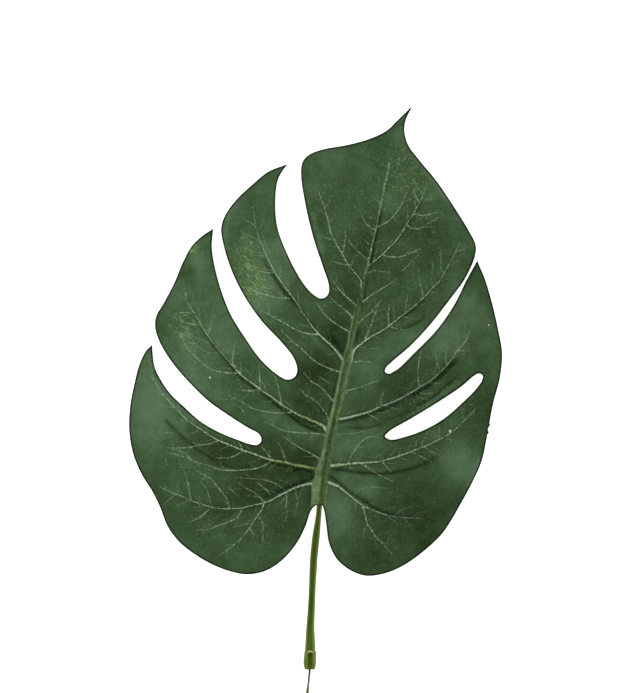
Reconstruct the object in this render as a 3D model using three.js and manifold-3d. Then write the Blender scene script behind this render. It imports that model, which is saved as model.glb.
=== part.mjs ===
// An artificial monstera leaf, lying face up on a flat surface at z = 0.
// Units are millimetres: +X to the leaf's right, +Y towards its tip, +Z up.
// It has three pieces: a thin pressed blade, a moulded stem whose ribs run along the blade's back,
// and the steel core wire that the stem is moulded round and that stands out of its lower end.
// The plan below is drawn from the joint of stem and blade. The last lines move the origin
// to the middle of the leaf's bounding box, on the surface.
import * as THREE from "three";
import { mergeVertices } from "three/addons/utils/BufferGeometryUtils.js";
import Module from "manifold-3d";

const wasm = await Module();
wasm.setup();

// Driving sizes of the blade
const BLADE_THICKNESS = 0.7;
const MARGIN_STEP = 3;
const VEIN_STEP = 4;
const FILL_STEP = 6.2;
const CLEAR_OF_MARGIN = 1.9;
const CLEAR_OF_POINTS = 2.3;
const CLEAR_IN_GROOVE = 1.5;

// Heights of the blade's underside above the surface
const ARCH_HEIGHT = 19;
const ARCH_Y = 80;
const JOINT_HEIGHT = 12;
const TIP_HEIGHT = 2.6;
const TIP_Y = 198.3;
const LOBES_LEVEL_OVER = 14;
const GROOVE_HALF_WIDTH = 2.6;
const SHOULDER_RISE = 4;
const SHOULDER_WIDTH = 9;
const LEFT_DROOP = 17.5;
const RIGHT_DROOP = 19;
const DROOP_REACH = 100;
const WAVE_HEIGHT = 1.5;
const WAVE_LENGTH = 58;
const CREASE_DEPTH = 1.9;
const CREASE_WIDTH = 5.5;
const SLIT_STEP = 1.1;
const SLIT_STEP_WIDTH = 14;
const SOFT_CONTACT = 0.4;

// Driving sizes of the stem and its wire
const SEAT_GAP = 0.35;
const COLLAR_RADIUS = 2.95;
const COLLAR_AXIS_HEIGHT = 2.7;
const COLLAR_TOP_Y = -73;
const COLLAR_END_Y = -82.5;
const COLLAR_ROUND = 0.7;
const STEM_SIDES = 12;
const RIB_SIDES = 6;
const WIRE_RADIUS = 0.4;
const WIRE_SIDES = 8;
const WIRE_STEP = 3.9;
const BORE_RADIUS = 0.7;
const WIRE_TOP_Y = 30;
const WIRE_END_Y = -102.5;

// The margin as seen from above, clockwise from the notch at the joint.
// Each run is one smooth curve, and the runs meet in sharp points: the notch and the tips of the lobes.
const MARGIN_RUNS = [
  // Left basal lobe and the left margin, up to the tip of the lowest left lobe
  [[-1.6, 0.4], [-4.4, -1.8], [-7.4, -10], [-11.6, -18.4], [-19.2, -27.3], [-27.5, -32.6],
    [-36.5, -34.3], [-45, -32.8], [-54, -29.4], [-63, -24.2], [-70.5, -18.2], [-76.2, -10.3],
    [-79.6, -1.5], [-83.4, 6.5], [-88.6, 14.8], [-93, 25], [-95.1, 37], [-94.6, 49],
    [-92.3, 61], [-89.6, 71], [-86.6, 77], [-84.2, 79.4]],
  // In and out of the lowest left split, then round the middle left lobe
  [[-84.2, 79.4], [-83.9, 74.6], [-83, 68.9], [-80.6, 63.6], [-75, 55.3], [-68.8, 49.4],
    [-60, 41.6], [-50, 35.9], [-40.6, 32.2], [-34.5, 30.1], [-30.3, 30.2], [-28.7, 32.6],
    [-30, 35.8], [-35.5, 38.9], [-45.6, 45.3], [-55, 51.9], [-64.5, 61], [-73.1, 70.9],
    [-79.2, 80.4], [-82, 88.4], [-81.6, 94.2], [-77.8, 100.9], [-72.5, 110.9], [-68.2, 121.3],
    [-63.8, 129.4], [-58.5, 134.6], [-53.9, 137.6]],
  // In and out of the middle left split, then round the upper left lobe
  [[-53.9, 137.6], [-54.5, 129.5], [-53.4, 121.3], [-50.3, 109.1], [-45, 95.3], [-38.1, 84.1],
    [-30, 72.8], [-22.5, 65.8], [-16.5, 62.5], [-12.3, 63.9], [-10.9, 67.8], [-13, 74.2],
    [-19.5, 82.3], [-28.8, 92.2], [-37.2, 104.2], [-43.2, 116], [-47.7, 129.4], [-49.1, 138.4],
    [-47.1, 144.9], [-41.5, 152.7], [-34.2, 159.6], [-25.5, 166.6], [-16.9, 170]],
  // In and out of the upper left split, then over the top lobe to the drip tip
  [[-16.9, 170], [-20.3, 165.2], [-22, 160], [-22.6, 147], [-21.2, 137.2], [-15.6, 123.1],
    [-8.7, 110.7], [-3.4, 104.8], [0.8, 102.8], [4.1, 104.5], [4.9, 109], [1.6, 119.8],
    [-3.2, 134.6], [-7.3, 152.5], [-9, 165], [-8.2, 171.7], [-4.8, 175.1], [2, 177.6],
    [13.8, 179.7], [25, 182.8], [33.5, 186.9], [39.5, 192.6], [45.3, 198.3]],
  // Down the right of the top lobe, then in and out of the right split
  [[45.3, 198.3], [42.8, 193], [41.9, 187.8], [43.6, 180.3], [49.5, 172], [58, 161.6],
    [66.5, 149.1], [74.2, 136.6], [77.4, 130], [77, 124.2], [72.2, 113.4], [65, 103.5],
    [54.4, 90], [44.7, 79.7], [35, 71.3], [31.8, 67.6], [33.2, 65.3], [38.5, 67.4],
    [47.5, 75.9], [58.8, 87.5], [67.5, 100], [73.5, 112], [78.6, 121.3]],
  // The right margin and the right basal lobe, back to the notch
  [[78.6, 121.3], [82.2, 112.8], [85.8, 101], [88.6, 89.5], [91, 76], [89.8, 63.5],
    [86.6, 51.5], [84.5, 41], [82.9, 32], [80.6, 21.8], [75.9, 11], [70, 0], [64.2, -9.9],
    [60, -15.5], [50, -24.4], [40, -30.9], [31, -34.2], [22.5, -34.9], [14.6, -31.7],
    [8.8, -26.7], [5, -19], [3.6, -9.4], [2.4, -2.1], [1.3, 0.4]],
];

// The long hole in the right half, a split that stays closed at the margin
const HOLE = [
  [32, 34.4], [34.2, 37.1], [45, 43.4], [57.5, 50.9], [70, 59.1], [77.3, 65], [80.5, 66.1],
  [82.2, 64.2], [79.6, 59.2], [72.5, 51.8], [62, 42.8], [52, 37.2], [42, 33.7], [35, 32.5],
];

// The midrib, from below the joint to the drip tip. Below the joint it follows the stem.
const MIDRIB = [
  [-5, -72], [-3.2, -29], [-0.3, 0], [3.5, 23.4], [6.9, 42.5], [11, 62.3], [15.9, 84.6],
  [22, 108], [27.5, 135], [32, 157], [36, 174], [40, 187], [45.3, 198.3],
];

// The main side veins, each from the midrib outwards. Creases and the ribs on the back follow them.
const SIDE_VEINS = [
  [[1.2, 10.8], [-8.1, 9.7], [-16.9, 5.6], [-26.3, 1.6], [-38.8, -1.6], [-48.8, -2.2], [-60, 0.3],
    [-70, 4.7]],
  [[2.6, 18.3], [-11.9, 19.9], [-23.8, 22.5], [-35, 25.9], [-46.3, 30.3], [-57.5, 36.3],
    [-68, 45], [-78.1, 54.4]],
  [[5.5, 36.5], [-1.1, 41.3], [-10, 46.2], [-24.4, 53.1], [-38.8, 65.3], [-50, 76.3],
    [-59.4, 90], [-66.6, 104.4]],
  [[14, 72], [7.9, 75.7], [-0.6, 84.6], [-10, 98], [-18.1, 110], [-25, 121.3], [-30, 133.8],
    [-32.6, 148]],
  [[22, 110], [17.5, 116.3], [10.6, 125.6], [6.9, 133.1], [3.8, 141.9], [2, 152]],
  [[1.8, 13.4], [7.5, 10.3], [14.4, 5.7], [21.7, 0.3], [30, -3.9], [41.3, -6.9], [50, -6.6]],
  [[3, 19], [10, 20], [20, 20.6], [31.3, 21.9], [46.3, 26.3], [57.5, 31.3], [70.6, 39.4]],
  [[7, 42], [15, 44.5], [30.2, 49.2], [45, 55.9], [55, 61.9], [63.8, 70.6], [71.9, 81.3],
    [77, 91]],
  [[14.5, 75], [21.3, 80.2], [33.3, 88.2], [46.3, 98.4], [55, 106.9], [63.4, 118.1],
    [69.4, 128.8]],
  [[24.5, 119], [32.5, 126.3], [41.9, 137.5], [49.4, 149.1], [53.8, 156.3]],
];

// The middle line of each split, from its inner end outwards, and which side of it lies higher
const SPLITS = [
  { line: [[0.8, 106], [-6.5, 121], [-12.2, 136], [-15, 150], [-15.5, 162], [-13, 172]], high: -1 },
  { line: [[-14, 66], [-24.5, 77], [-33.5, 88.2], [-41, 99.5], [-46.5, 112], [-51.8, 136]],
    high: -1 },
  { line: [[-31, 33], [-43, 38.8], [-53.5, 44.5], [-62.5, 51.5], [-71, 60.5], [-82, 78]],
    high: -1 },
  { line: [[33.5, 67], [42, 74.5], [51.5, 83.5], [59.5, 92.5], [66.5, 102], [77.8, 122.5]],
    high: 1 },
];

// The two low spots of the blade. With the stem's collar they carry the leaf, round its weight.
const LOW_SPOTS = [
  { x: -42.5, y: 138, press: 0, reach: 17 },
  { x: 84.5, y: 80, press: 0, reach: 17 },
];
const LOW_SPOT_RING = 4.6;
const PRESSED_BELOW = 0.9;

// Half widths and half heights of the stem, from the collar to the end of the rib behind the midrib
const STEM_STATIONS = [
  { y: -74.5, wide: 2.35, high: 2.3 },
  { y: -65.5, wide: 2.1, high: 2.1 },
  { y: -57, wide: 1.7, high: 1.8 },
  { y: -45, wide: 1.55, high: 1.7 },
  { y: -30, wide: 1.75, high: 1.8 },
  { y: -16, wide: 1.7, high: 1.75 },
  { y: -5, wide: 1.35, high: 1.5 },
  { y: 1, wide: 1.3, high: 1.5 },
  { y: 9, wide: 2, high: 1.8 },
  { y: 24, wide: 2.2, high: 1.9 },
  { y: 60, wide: 1.9, high: 1.6 },
  { y: 110, wide: 1.3, high: 1.15 },
  { y: 150, wide: 0.85, high: 0.75 },
  { y: 166, wide: 0.5, high: 0.45 },
];
const STEM_STEP = 4.5;
const RIB_ROOT = { wide: 1, high: 0.95 };
const RIB_END = { wide: 0.45, high: 0.4 };
const RIB_LENGTH_SHARE = 0.78;
const RIB_STEP = 6.5;
const RIB_TOP_CUT = 0.35;
const STEM_GROOVE = 0.14;

// The long window in the front of the collar, in which the wire shows, and its raised rim
const WINDOW = { x: -5, y: -78.1, halfWidth: 1.55, halfLength: 3.7, rim: 0.6, proud: 0.1 };

// Curves

function smoothLine(points, step, closed = false) {
  const knots = points.map(([x, y]) => new THREE.Vector3(x, y, 0));
  const curve = new THREE.CatmullRomCurve3(knots, closed, "centripetal");
  const divisions = Math.max(2, Math.round(curve.getLength() / step));
  return curve.getSpacedPoints(divisions);
}

function measured(points, step) {
  const line = smoothLine(points, step);
  let along = 0;
  return line.map((p, i) => {
    along += i ? p.distanceTo(line[i - 1]) : 0;
    return { x: p.x, y: p.y, along };
  });
}

const midrib = measured(MIDRIB, 3);
const sideVeins = SIDE_VEINS.map((points) => measured(points, VEIN_STEP));
const splits = SPLITS.map(({ line, high }) => ({ line: measured(line, 4), high }));

// The nearest point of a line: how far off it is, on which side, and how far along the line.
function nearestOn(line, x, y) {
  let best = { distance: Infinity, side: 1, along: 0 };
  for (let i = 0; i + 1 < line.length; i += 1) {
    const a = line[i];
    const b = line[i + 1];
    const runX = b.x - a.x;
    const runY = b.y - a.y;
    const length = Math.hypot(runX, runY);
    const share = ((x - a.x) * runX + (y - a.y) * runY) / (length * length);
    const held = THREE.MathUtils.clamp(share, 0, 1);
    const offX = x - a.x - held * runX;
    const offY = y - a.y - held * runY;
    const distance = Math.hypot(offX, offY);
    if (distance < best.distance) {
      const side = Math.sign(runX * offY - runY * offX) || 1;
      best = { distance, side, along: a.along + held * length };
    }
  }
  return best;
}

function midribX(y) {
  const i = Math.max(1, midrib.findIndex((p) => p.y >= y));
  const a = midrib[i - 1];
  const b = midrib[i];
  return a.x + ((b.x - a.x) * (y - a.y)) / (b.y - a.y);
}

// Shape of the blade

// The arch along the midrib: up from the joint, over the middle, and down to the drip tip.
function archHeight(y) {
  const rise = ARCH_HEIGHT - JOINT_HEIGHT;
  if (y >= ARCH_Y) {
    return ARCH_HEIGHT - (ARCH_HEIGHT - TIP_HEIGHT) * ((y - ARCH_Y) / (TIP_Y - ARCH_Y)) ** 2;
  }
  if (y >= 0) {
    return ARCH_HEIGHT - rise * ((ARCH_Y - y) / ARCH_Y) ** 2;
  }
  const slopeAtJoint = (2 * rise) / ARCH_Y;
  return JOINT_HEIGHT - slopeAtJoint * LOBES_LEVEL_OVER * (1 - Math.exp(y / LOBES_LEVEL_OVER));
}

// Across the blade: a flat groove at the midrib, shoulders that rise beside it, and drooping sides.
function crossHeight(offset, side) {
  const past = Math.max(0, offset - GROOVE_HALF_WIDTH);
  const shoulder = SHOULDER_RISE * (1 - Math.exp(-past / SHOULDER_WIDTH));
  const droop = Math.sin((Math.PI / 2) * Math.min(1, offset / DROOP_REACH)) ** 2;
  return shoulder - (side > 0 ? LEFT_DROOP : RIGHT_DROOP) * droop;
}

function creaseHeight(x, y, fromMidrib) {
  let height = 0;
  for (const vein of sideVeins) {
    const near = nearestOn(vein, x, y);
    const length = vein[vein.length - 1].along;
    const fade = Math.max(0, 1 - near.along / length) ** 0.6;
    const start = THREE.MathUtils.smoothstep(fromMidrib, GROOVE_HALF_WIDTH, 12);
    height -= CREASE_DEPTH * fade * start * Math.exp(-near.distance / CREASE_WIDTH);
  }
  return height;
}

// The lobes on the two sides of a split part a little in height, more towards the margin.
function splitHeight(x, y) {
  let height = 0;
  for (const { line, high } of splits) {
    const near = nearestOn(line, x, y);
    const opened = near.along / line[line.length - 1].along;
    height += high * near.side * SLIT_STEP * opened * Math.exp(-near.distance / SLIT_STEP_WIDTH);
  }
  return height;
}

function freeHeight(x, y) {
  const near = nearestOn(midrib, x, y);
  const turn = (2 * Math.PI * y) / WAVE_LENGTH + near.side * 0.9;
  const wave = WAVE_HEIGHT * (near.distance / 90) ** 1.5 * Math.sin(turn);
  return archHeight(y) + crossHeight(near.distance, near.side) + wave
    + creaseHeight(x, y, near.distance) + splitHeight(x, y);
}

for (const spot of LOW_SPOTS) {
  spot.press = freeHeight(spot.x, spot.y) + PRESSED_BELOW;
}

// The height of the blade's underside. Where it would pass below the surface it lies flat on it.
function undersideHeight(x, y) {
  let height = freeHeight(x, y);
  for (const spot of LOW_SPOTS) {
    const away = Math.hypot(x - spot.x, y - spot.y) / spot.reach;
    height -= spot.press * Math.exp(-away * away);
  }
  if (height >= SOFT_CONTACT) {
    return height;
  }
  return height <= -SOFT_CONTACT ? 0 : (height + SOFT_CONTACT) ** 2 / (4 * SOFT_CONTACT);
}

// Triangles of the blade

function isInside(loop, x, y) {
  let inside = false;
  for (let i = 0, j = loop.length - 1; i < loop.length; j = i, i += 1) {
    const a = loop[i];
    const b = loop[j];
    if (a.y > y !== b.y > y && x < ((b.x - a.x) * (y - a.y)) / (b.y - a.y) + a.x) {
      inside = !inside;
    }
  }
  return inside;
}

function circumcircle(points, a, b, c) {
  const ax = points[a].x;
  const ay = points[a].y;
  const bx = points[b].x - ax;
  const by = points[b].y - ay;
  const cx = points[c].x - ax;
  const cy = points[c].y - ay;
  const twice = 2 * (bx * cy - by * cx);
  const x = (cy * (bx * bx + by * by) - by * (cx * cx + cy * cy)) / twice;
  const y = (bx * (cx * cx + cy * cy) - cx * (bx * bx + by * by)) / twice;
  return { corners: [a, b, c], x: x + ax, y: y + ay, squared: x * x + y * y };
}

// Delaunay triangles, point by point: those whose circle holds the new point make way for it.
function triangulate(points) {
  const n = points.length;
  const all = [...points, { x: -3000, y: -3000 }, { x: 3000, y: -3000 }, { x: 0, y: 4000 }];
  let triangles = [circumcircle(all, n, n + 1, n + 2)];
  for (let i = 0; i < n; i += 1) {
    const kept = [];
    const rim = new Map();
    for (const t of triangles) {
      if ((all[i].x - t.x) ** 2 + (all[i].y - t.y) ** 2 >= t.squared) {
        kept.push(t);
        continue;
      }
      for (let k = 0; k < 3; k += 1) {
        const from = t.corners[k];
        const to = t.corners[(k + 1) % 3];
        const back = `${to},${from}`;
        if (!rim.delete(back)) {
          rim.set(`${from},${to}`, [from, to]);
        }
      }
    }
    triangles = kept;
    for (const [from, to] of rim.values()) {
      triangles.push(circumcircle(all, from, to, i));
    }
  }
  return triangles.map((t) => t.corners).filter((corners) => corners.every((c) => c < n));
}

function edgeKeys(triangles) {
  const keys = new Set();
  for (const [a, b, c] of triangles) {
    for (const [from, to] of [[a, b], [b, c], [c, a]]) {
      keys.add(`${from},${to}`);
      keys.add(`${to},${from}`);
    }
  }
  return keys;
}

// Splits the edges of the loops that no triangle has, until every one of them is an edge.
function conform(loops, fill) {
  for (;;) {
    const points = [...loops.flat(), ...fill];
    const triangles = triangulate(points);
    const keys = edgeKeys(triangles);
    let first = 0;
    let missing = 0;
    const finer = loops.map((loop) => {
      const base = first;
      first += loop.length;
      return loop.flatMap((p, i) => {
        const next = (i + 1) % loop.length;
        if (keys.has(`${base + i},${base + next}`)) {
          return [p];
        }
        missing += 1;
        return [p, { x: (p.x + loop[next].x) / 2, y: (p.y + loop[next].y) / 2 }];
      });
    });
    if (missing === 0) {
      return { points, triangles };
    }
    loops = finer;
  }
}

const margin = MARGIN_RUNS.flatMap((run) => smoothLine(run, MARGIN_STEP).slice(0, -1));
margin.push(new THREE.Vector3(1.3, 0.4, 0));
const hole = smoothLine(HOLE, MARGIN_STEP, true).slice(0, -1);

function isOnBlade(x, y) {
  return isInside(margin, x, y) && !isInside(hole, x, y);
}

// Points of the fill: on the groove, the veins and the low spots first, then evenly between them.
function fillPoints() {
  const fill = [];
  const loops = [...margin, ...hole];
  const tryPoint = (x, y, clear) => {
    const near = (list, least) => list.every((p) => Math.hypot(p.x - x, p.y - y) >= least);
    if (isOnBlade(x, y) && near(loops, CLEAR_OF_MARGIN) && near(fill, clear)) {
      fill.push({ x, y });
    }
  };
  for (const spot of LOW_SPOTS) {
    tryPoint(spot.x, spot.y, 0);
    for (let turn = 0; turn < 6; turn += 1) {
      const angle = (turn * Math.PI) / 3 + 0.1;
      const x = spot.x + LOW_SPOT_RING * Math.cos(angle);
      tryPoint(x, spot.y + LOW_SPOT_RING * Math.sin(angle), 1);
    }
  }
  for (let y = 3; y < TIP_Y - 12; y += VEIN_STEP) {
    for (const offset of [0, -GROOVE_HALF_WIDTH, GROOVE_HALF_WIDTH]) {
      tryPoint(midribX(y) + offset, y, CLEAR_IN_GROOVE);
    }
  }
  for (const vein of sideVeins) {
    for (const p of vein) {
      tryPoint(p.x, p.y, CLEAR_OF_POINTS);
    }
  }
  const rowStep = FILL_STEP * Math.sqrt(0.75);
  for (let row = 0; row * rowStep < 240; row += 1) {
    for (let column = 0; column * FILL_STEP < 200; column += 1) {
      const nudge = 0.15 * Math.sin(7 * row + 3 * column);
      const x = -98 + (column + (row % 2) / 2) * FILL_STEP + nudge;
      tryPoint(x, -37 + row * rowStep - nudge, 0.62 * FILL_STEP);
    }
  }
  return fill;
}

// The blade's plan: its triangles, each turned to run anticlockwise as seen from above
function bladePlan() {
  const { points, triangles } = conform([margin, hole], fillPoints());
  const kept = triangles.filter((corners) => {
    const x = corners.reduce((sum, c) => sum + points[c].x, 0) / 3;
    const y = corners.reduce((sum, c) => sum + points[c].y, 0) / 3;
    return isOnBlade(x, y);
  });
  const turned = kept.map(([a, b, c]) => {
    const doubled = (points[b].x - points[a].x) * (points[c].y - points[a].y)
      - (points[b].y - points[a].y) * (points[c].x - points[a].x);
    return doubled > 0 ? [a, b, c] : [a, c, b];
  });
  const heights = points.map((p) => undersideHeight(p.x, p.y));
  return { points, triangles: turned, heights };
}

const plan = bladePlan();

// The height of the underside as built, which is flat within each triangle of the plan
function builtUnderside(x, y) {
  for (const corners of plan.triangles) {
    const [a, b, c] = corners.map((i) => plan.points[i]);
    const whole = (b.x - a.x) * (c.y - a.y) - (b.y - a.y) * (c.x - a.x);
    const shareB = ((x - a.x) * (c.y - a.y) - (y - a.y) * (c.x - a.x)) / whole;
    const shareC = ((b.x - a.x) * (y - a.y) - (b.y - a.y) * (x - a.x)) / whole;
    if (shareB >= 0 && shareC >= 0 && shareB + shareC <= 1) {
      const [za, zb, zc] = corners.map((i) => plan.heights[i]);
      return za + (zb - za) * shareB + (zc - za) * shareC;
    }
  }
  return undersideHeight(x, y);
}

// A closed solid on the plan: the same triangles above and below, and a wall round them
function bladeGeometry() {
  const n = plan.points.length;
  const positions = [];
  for (const lift of [0, BLADE_THICKNESS]) {
    plan.points.forEach((p, i) => positions.push(p.x, p.y, plan.heights[i] + lift));
  }
  const index = [];
  const once = new Map();
  for (const [a, b, c] of plan.triangles) {
    index.push(a, c, b, a + n, b + n, c + n);
    for (const [from, to] of [[a, b], [b, c], [c, a]]) {
      if (!once.delete(`${to},${from}`)) {
        once.set(`${from},${to}`, [from, to]);
      }
    }
  }
  for (const [from, to] of once.values()) {
    index.push(from, to, to + n, from, to + n, from + n);
  }
  const geometry = new THREE.BufferGeometry();
  geometry.setAttribute("position", new THREE.Float32BufferAttribute(positions, 3));
  geometry.setIndex(index);
  return geometry;
}

// Lofts

// Rings of equally many points, each as [x, y, z], skinned into one closed solid with flat ends.
function loft(rings) {
  const sides = rings[0].length;
  const positions = rings.flat(2);
  const index = [];
  for (let r = 0; r + 1 < rings.length; r += 1) {
    for (let s = 0; s < sides; s += 1) {
      const a = r * sides + s;
      const b = r * sides + ((s + 1) % sides);
      index.push(a, b + sides, b, a, a + sides, b + sides);
    }
  }
  const last = (rings.length - 1) * sides;
  for (let s = 1; s + 1 < sides; s += 1) {
    index.push(0, s, s + 1, last, last + s + 1, last + s);
  }
  const geometry = new THREE.BufferGeometry();
  geometry.setAttribute("position", new THREE.Float32BufferAttribute(positions, 3));
  geometry.setIndex(index);
  return geometry;
}

// A ring square to a path in the plan. It has a flat top at topCut and a channel of depth groove.
function ring(at, aim, wide, high, sides, { topCut = 1, groove = 0, lowest = -Infinity } = {}) {
  const across = { x: aim.y, y: -aim.x };
  return Array.from({ length: sides }, (_, s) => {
    const angle = (2 * Math.PI * (s + 0.5)) / sides;
    const fromTop = Math.abs(angle - Math.PI / 2);
    const shrink = 1 - groove * Math.exp(-((fromTop / 0.35) ** 2));
    const out = wide * Math.cos(angle) * shrink;
    const up = Math.min(high * Math.sin(angle) * shrink, high * topCut);
    return [at.x + across.x * out, at.y + across.y * out, Math.max(lowest, at.z + up)];
  });
}

function solidOf(geometry) {
  const bare = geometry.index ? geometry.toNonIndexed() : geometry.clone();
  bare.deleteAttribute("normal");
  bare.deleteAttribute("uv");
  const merged = mergeVertices(bare, 1e-4);
  return new wasm.Manifold(new wasm.Mesh({
    numProp: 3,
    vertProperties: merged.attributes.position.array,
    triVerts: new Uint32Array(merged.index.array),
  }));
}

function geometryOf(solid) {
  const mesh = solid.getMesh();
  const positions = new Float32Array(mesh.numVert * 3);
  for (let i = 0; i < mesh.numVert; i += 1) {
    positions.set(mesh.vertProperties.subarray(i * mesh.numProp, i * mesh.numProp + 3), i * 3);
  }
  const geometry = new THREE.BufferGeometry();
  geometry.setAttribute("position", new THREE.BufferAttribute(positions, 3));
  geometry.setIndex(new THREE.BufferAttribute(mesh.triVerts, 1));
  return geometry;
}

// Stem and ribs

// The lowest point of the underside across a rib's flat top
function undersideAcross({ x, y, aim, wide }) {
  const heights = [-1, 0, 1].map((side) => {
    return builtUnderside(x + side * wide * aim.y, y - side * wide * aim.x);
  });
  return Math.min(...heights);
}

// Heights for the flat top of a rib: a small gap below the blade, at each station and between them
function seatHeights(stations) {
  const seats = stations.map((station) => undersideAcross(station) - SEAT_GAP);
  for (let i = 0; i + 1 < stations.length; i += 1) {
    const a = stations[i];
    const b = stations[i + 1];
    for (const share of [0.2, 0.4, 0.6, 0.8]) {
      const x = a.x + (b.x - a.x) * share;
      const y = a.y + (b.y - a.y) * share;
      const top = seats[i] + (seats[i + 1] - seats[i]) * share;
      const lack = Math.max(0, top + SEAT_GAP - undersideAcross({ ...a, x, y }));
      seats[i] -= lack;
      seats[i + 1] -= lack;
    }
  }
  return seats;
}

function stationAt(y) {
  const last = STEM_STATIONS.length - 1;
  const found = STEM_STATIONS.findIndex((s) => s.y >= y);
  const i = THREE.MathUtils.clamp(found < 0 ? last : found, 1, last);
  const a = STEM_STATIONS[i - 1];
  const b = STEM_STATIONS[i];
  const share = THREE.MathUtils.smoothstep(y, a.y, b.y);
  return { wide: a.wide + (b.wide - a.wide) * share, high: a.high + (b.high - a.high) * share };
}

// 0 where the stem is round and free, 1 where it is the flat-topped rib behind the blade
function ribShare(y) {
  return THREE.MathUtils.smoothstep(y, -6, 7);
}

function stemTopCut(y) {
  return 1 + (RIB_TOP_CUT - 1) * ribShare(y);
}

function stemX(y) {
  return y < COLLAR_TOP_Y + 1 ? WINDOW.x : midribX(y);
}

function stemAim(y) {
  return new THREE.Vector2(stemX(y + 1) - stemX(y - 1), 2).normalize();
}

const ribStations = [];
for (let y = 0; y <= STEM_STATIONS[STEM_STATIONS.length - 1].y; y += STEM_STEP) {
  ribStations.push({ x: midribX(y), y, aim: stemAim(y), wide: stationAt(y).wide });
}
const ribSeats = seatHeights(ribStations);

// The height of the stem's axis: it rises from the collar to the joint, then hugs the blade's back.
function stemAxisHeight(y) {
  if (y >= 0) {
    const step = Math.min(ribSeats.length - 2, Math.floor(y / STEM_STEP));
    const share = y / STEM_STEP - step;
    const seat = ribSeats[step] + (ribSeats[step + 1] - ribSeats[step]) * share;
    return seat - stationAt(y).high * stemTopCut(y);
  }
  const top = stemAxisHeight(0);
  const slope = (stemAxisHeight(STEM_STEP) - top) / STEM_STEP;
  const run = -COLLAR_TOP_Y;
  const share = THREE.MathUtils.clamp((y - COLLAR_TOP_Y) / run, 0, 1);
  const ease = share * share * (3 - 2 * share);
  const lift = slope * run * share * share * (share - 1);
  return COLLAR_AXIS_HEIGHT + (top - COLLAR_AXIS_HEIGHT) * ease + lift;
}

function stemRings() {
  const steps = Math.floor(-STEM_STATIONS[0].y / STEM_STEP);
  const free = Array.from({ length: steps }, (_, i) => (i - steps) * STEM_STEP);
  const heights = [STEM_STATIONS[0].y, ...free, ...ribStations.map((station) => station.y)];
  return heights.map((y) => {
    const { wide, high } = stationAt(y);
    const at = { x: stemX(y), y, z: stemAxisHeight(y) };
    const groove = STEM_GROOVE * (1 - ribShare(y));
    return ring(at, stemAim(y), wide, high, STEM_SIDES, { topCut: stemTopCut(y), groove });
  });
}

// A rib on the back of a side vein, flat on top, rooted in the rib behind the midrib
function sideRibRings(vein) {
  const reach = vein[vein.length - 1].along * RIB_LENGTH_SHARE;
  const steps = Math.max(4, Math.round(reach / RIB_STEP));
  const curve = new THREE.CatmullRomCurve3(vein.map((p) => new THREE.Vector3(p.x, p.y, 0)));
  const stations = Array.from({ length: steps + 1 }, (_, i) => {
    const thin = i / steps;
    const { x, y } = curve.getPointAt(RIB_LENGTH_SHARE * thin);
    const aim = curve.getTangentAt(RIB_LENGTH_SHARE * thin);
    const wide = RIB_ROOT.wide + (RIB_END.wide - RIB_ROOT.wide) * thin;
    const high = RIB_ROOT.high + (RIB_END.high - RIB_ROOT.high) * thin;
    return { x, y, aim, wide, high };
  });
  const seats = seatHeights(stations);
  return stations.map(({ x, y, aim, wide, high }, i) => {
    const z = seats[i] - high * RIB_TOP_CUT;
    return ring({ x, y, z }, aim, wide, high, RIB_SIDES, { topCut: RIB_TOP_CUT });
  });
}

// The collar at the stem's lower end, flattened where it lies on the surface
function collarRings() {
  const profile = [
    [COLLAR_END_Y, COLLAR_RADIUS - COLLAR_ROUND],
    [COLLAR_END_Y + 0.25 * COLLAR_ROUND, COLLAR_RADIUS - 0.35 * COLLAR_ROUND],
    [COLLAR_END_Y + COLLAR_ROUND, COLLAR_RADIUS],
    [COLLAR_TOP_Y - 1.2, COLLAR_RADIUS],
    [COLLAR_TOP_Y - 0.4, COLLAR_RADIUS - 0.2],
    [COLLAR_TOP_Y, STEM_STATIONS[0].wide],
  ];
  return profile.map(([y, radius]) => {
    const at = { x: WINDOW.x, y, z: COLLAR_AXIS_HEIGHT };
    return ring(at, { x: 0, y: 1 }, radius, radius, 2 * STEM_SIDES, { lowest: 0 });
  });
}

// An upright prism with round ends, for the collar's window and its rim
function longPrism(halfWidth, halfLength, bottom, top) {
  const shape = new THREE.Shape();
  const straight = halfLength - halfWidth;
  shape.absarc(0, straight, halfWidth, 0, Math.PI);
  shape.absarc(0, -straight, halfWidth, Math.PI, 2 * Math.PI);
  const depth = top - bottom;
  const geometry = new THREE.ExtrudeGeometry(shape, { depth, bevelEnabled: false, curveSegments: 8 });
  return geometry.translate(WINDOW.x, WINDOW.y, bottom);
}

// Core wire: straight on from the stem's axis, with a small bead of moulding left on its tail

const WIRE_TAIL = [
  { y: -82.5, x: -5.1, z: 2.7 },
  { y: -87, x: -5.5, z: 2.6 },
  { y: -91.4, x: -6.05, z: 2.5 },
  { y: -95, x: -6.4, z: 2.4 },
  { y: WIRE_END_Y, x: -6.7, z: 2.3 },
];
const BEAD = { y: -92.3, reach: 1, swell: 0.32 };

function wirePoint(y) {
  if (y >= WIRE_TAIL[0].y) {
    const share = THREE.MathUtils.smoothstep(y, WIRE_TAIL[0].y, COLLAR_TOP_Y);
    return { x: WIRE_TAIL[0].x + (stemX(y) - WIRE_TAIL[0].x) * share, y, z: stemAxisHeight(y) };
  }
  const found = WIRE_TAIL.findIndex((p) => p.y <= y);
  const i = found < 1 ? WIRE_TAIL.length - 1 : found;
  const a = WIRE_TAIL[i - 1];
  const b = WIRE_TAIL[i];
  const share = (y - a.y) / (b.y - a.y);
  return { x: a.x + (b.x - a.x) * share, y, z: a.z + (b.z - a.z) * share };
}

// The wire's middle under the flat-topped rib is a little lower, in the thick of it.
function wireSink(y) {
  return 0.45 * ribShare(y);
}

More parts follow.
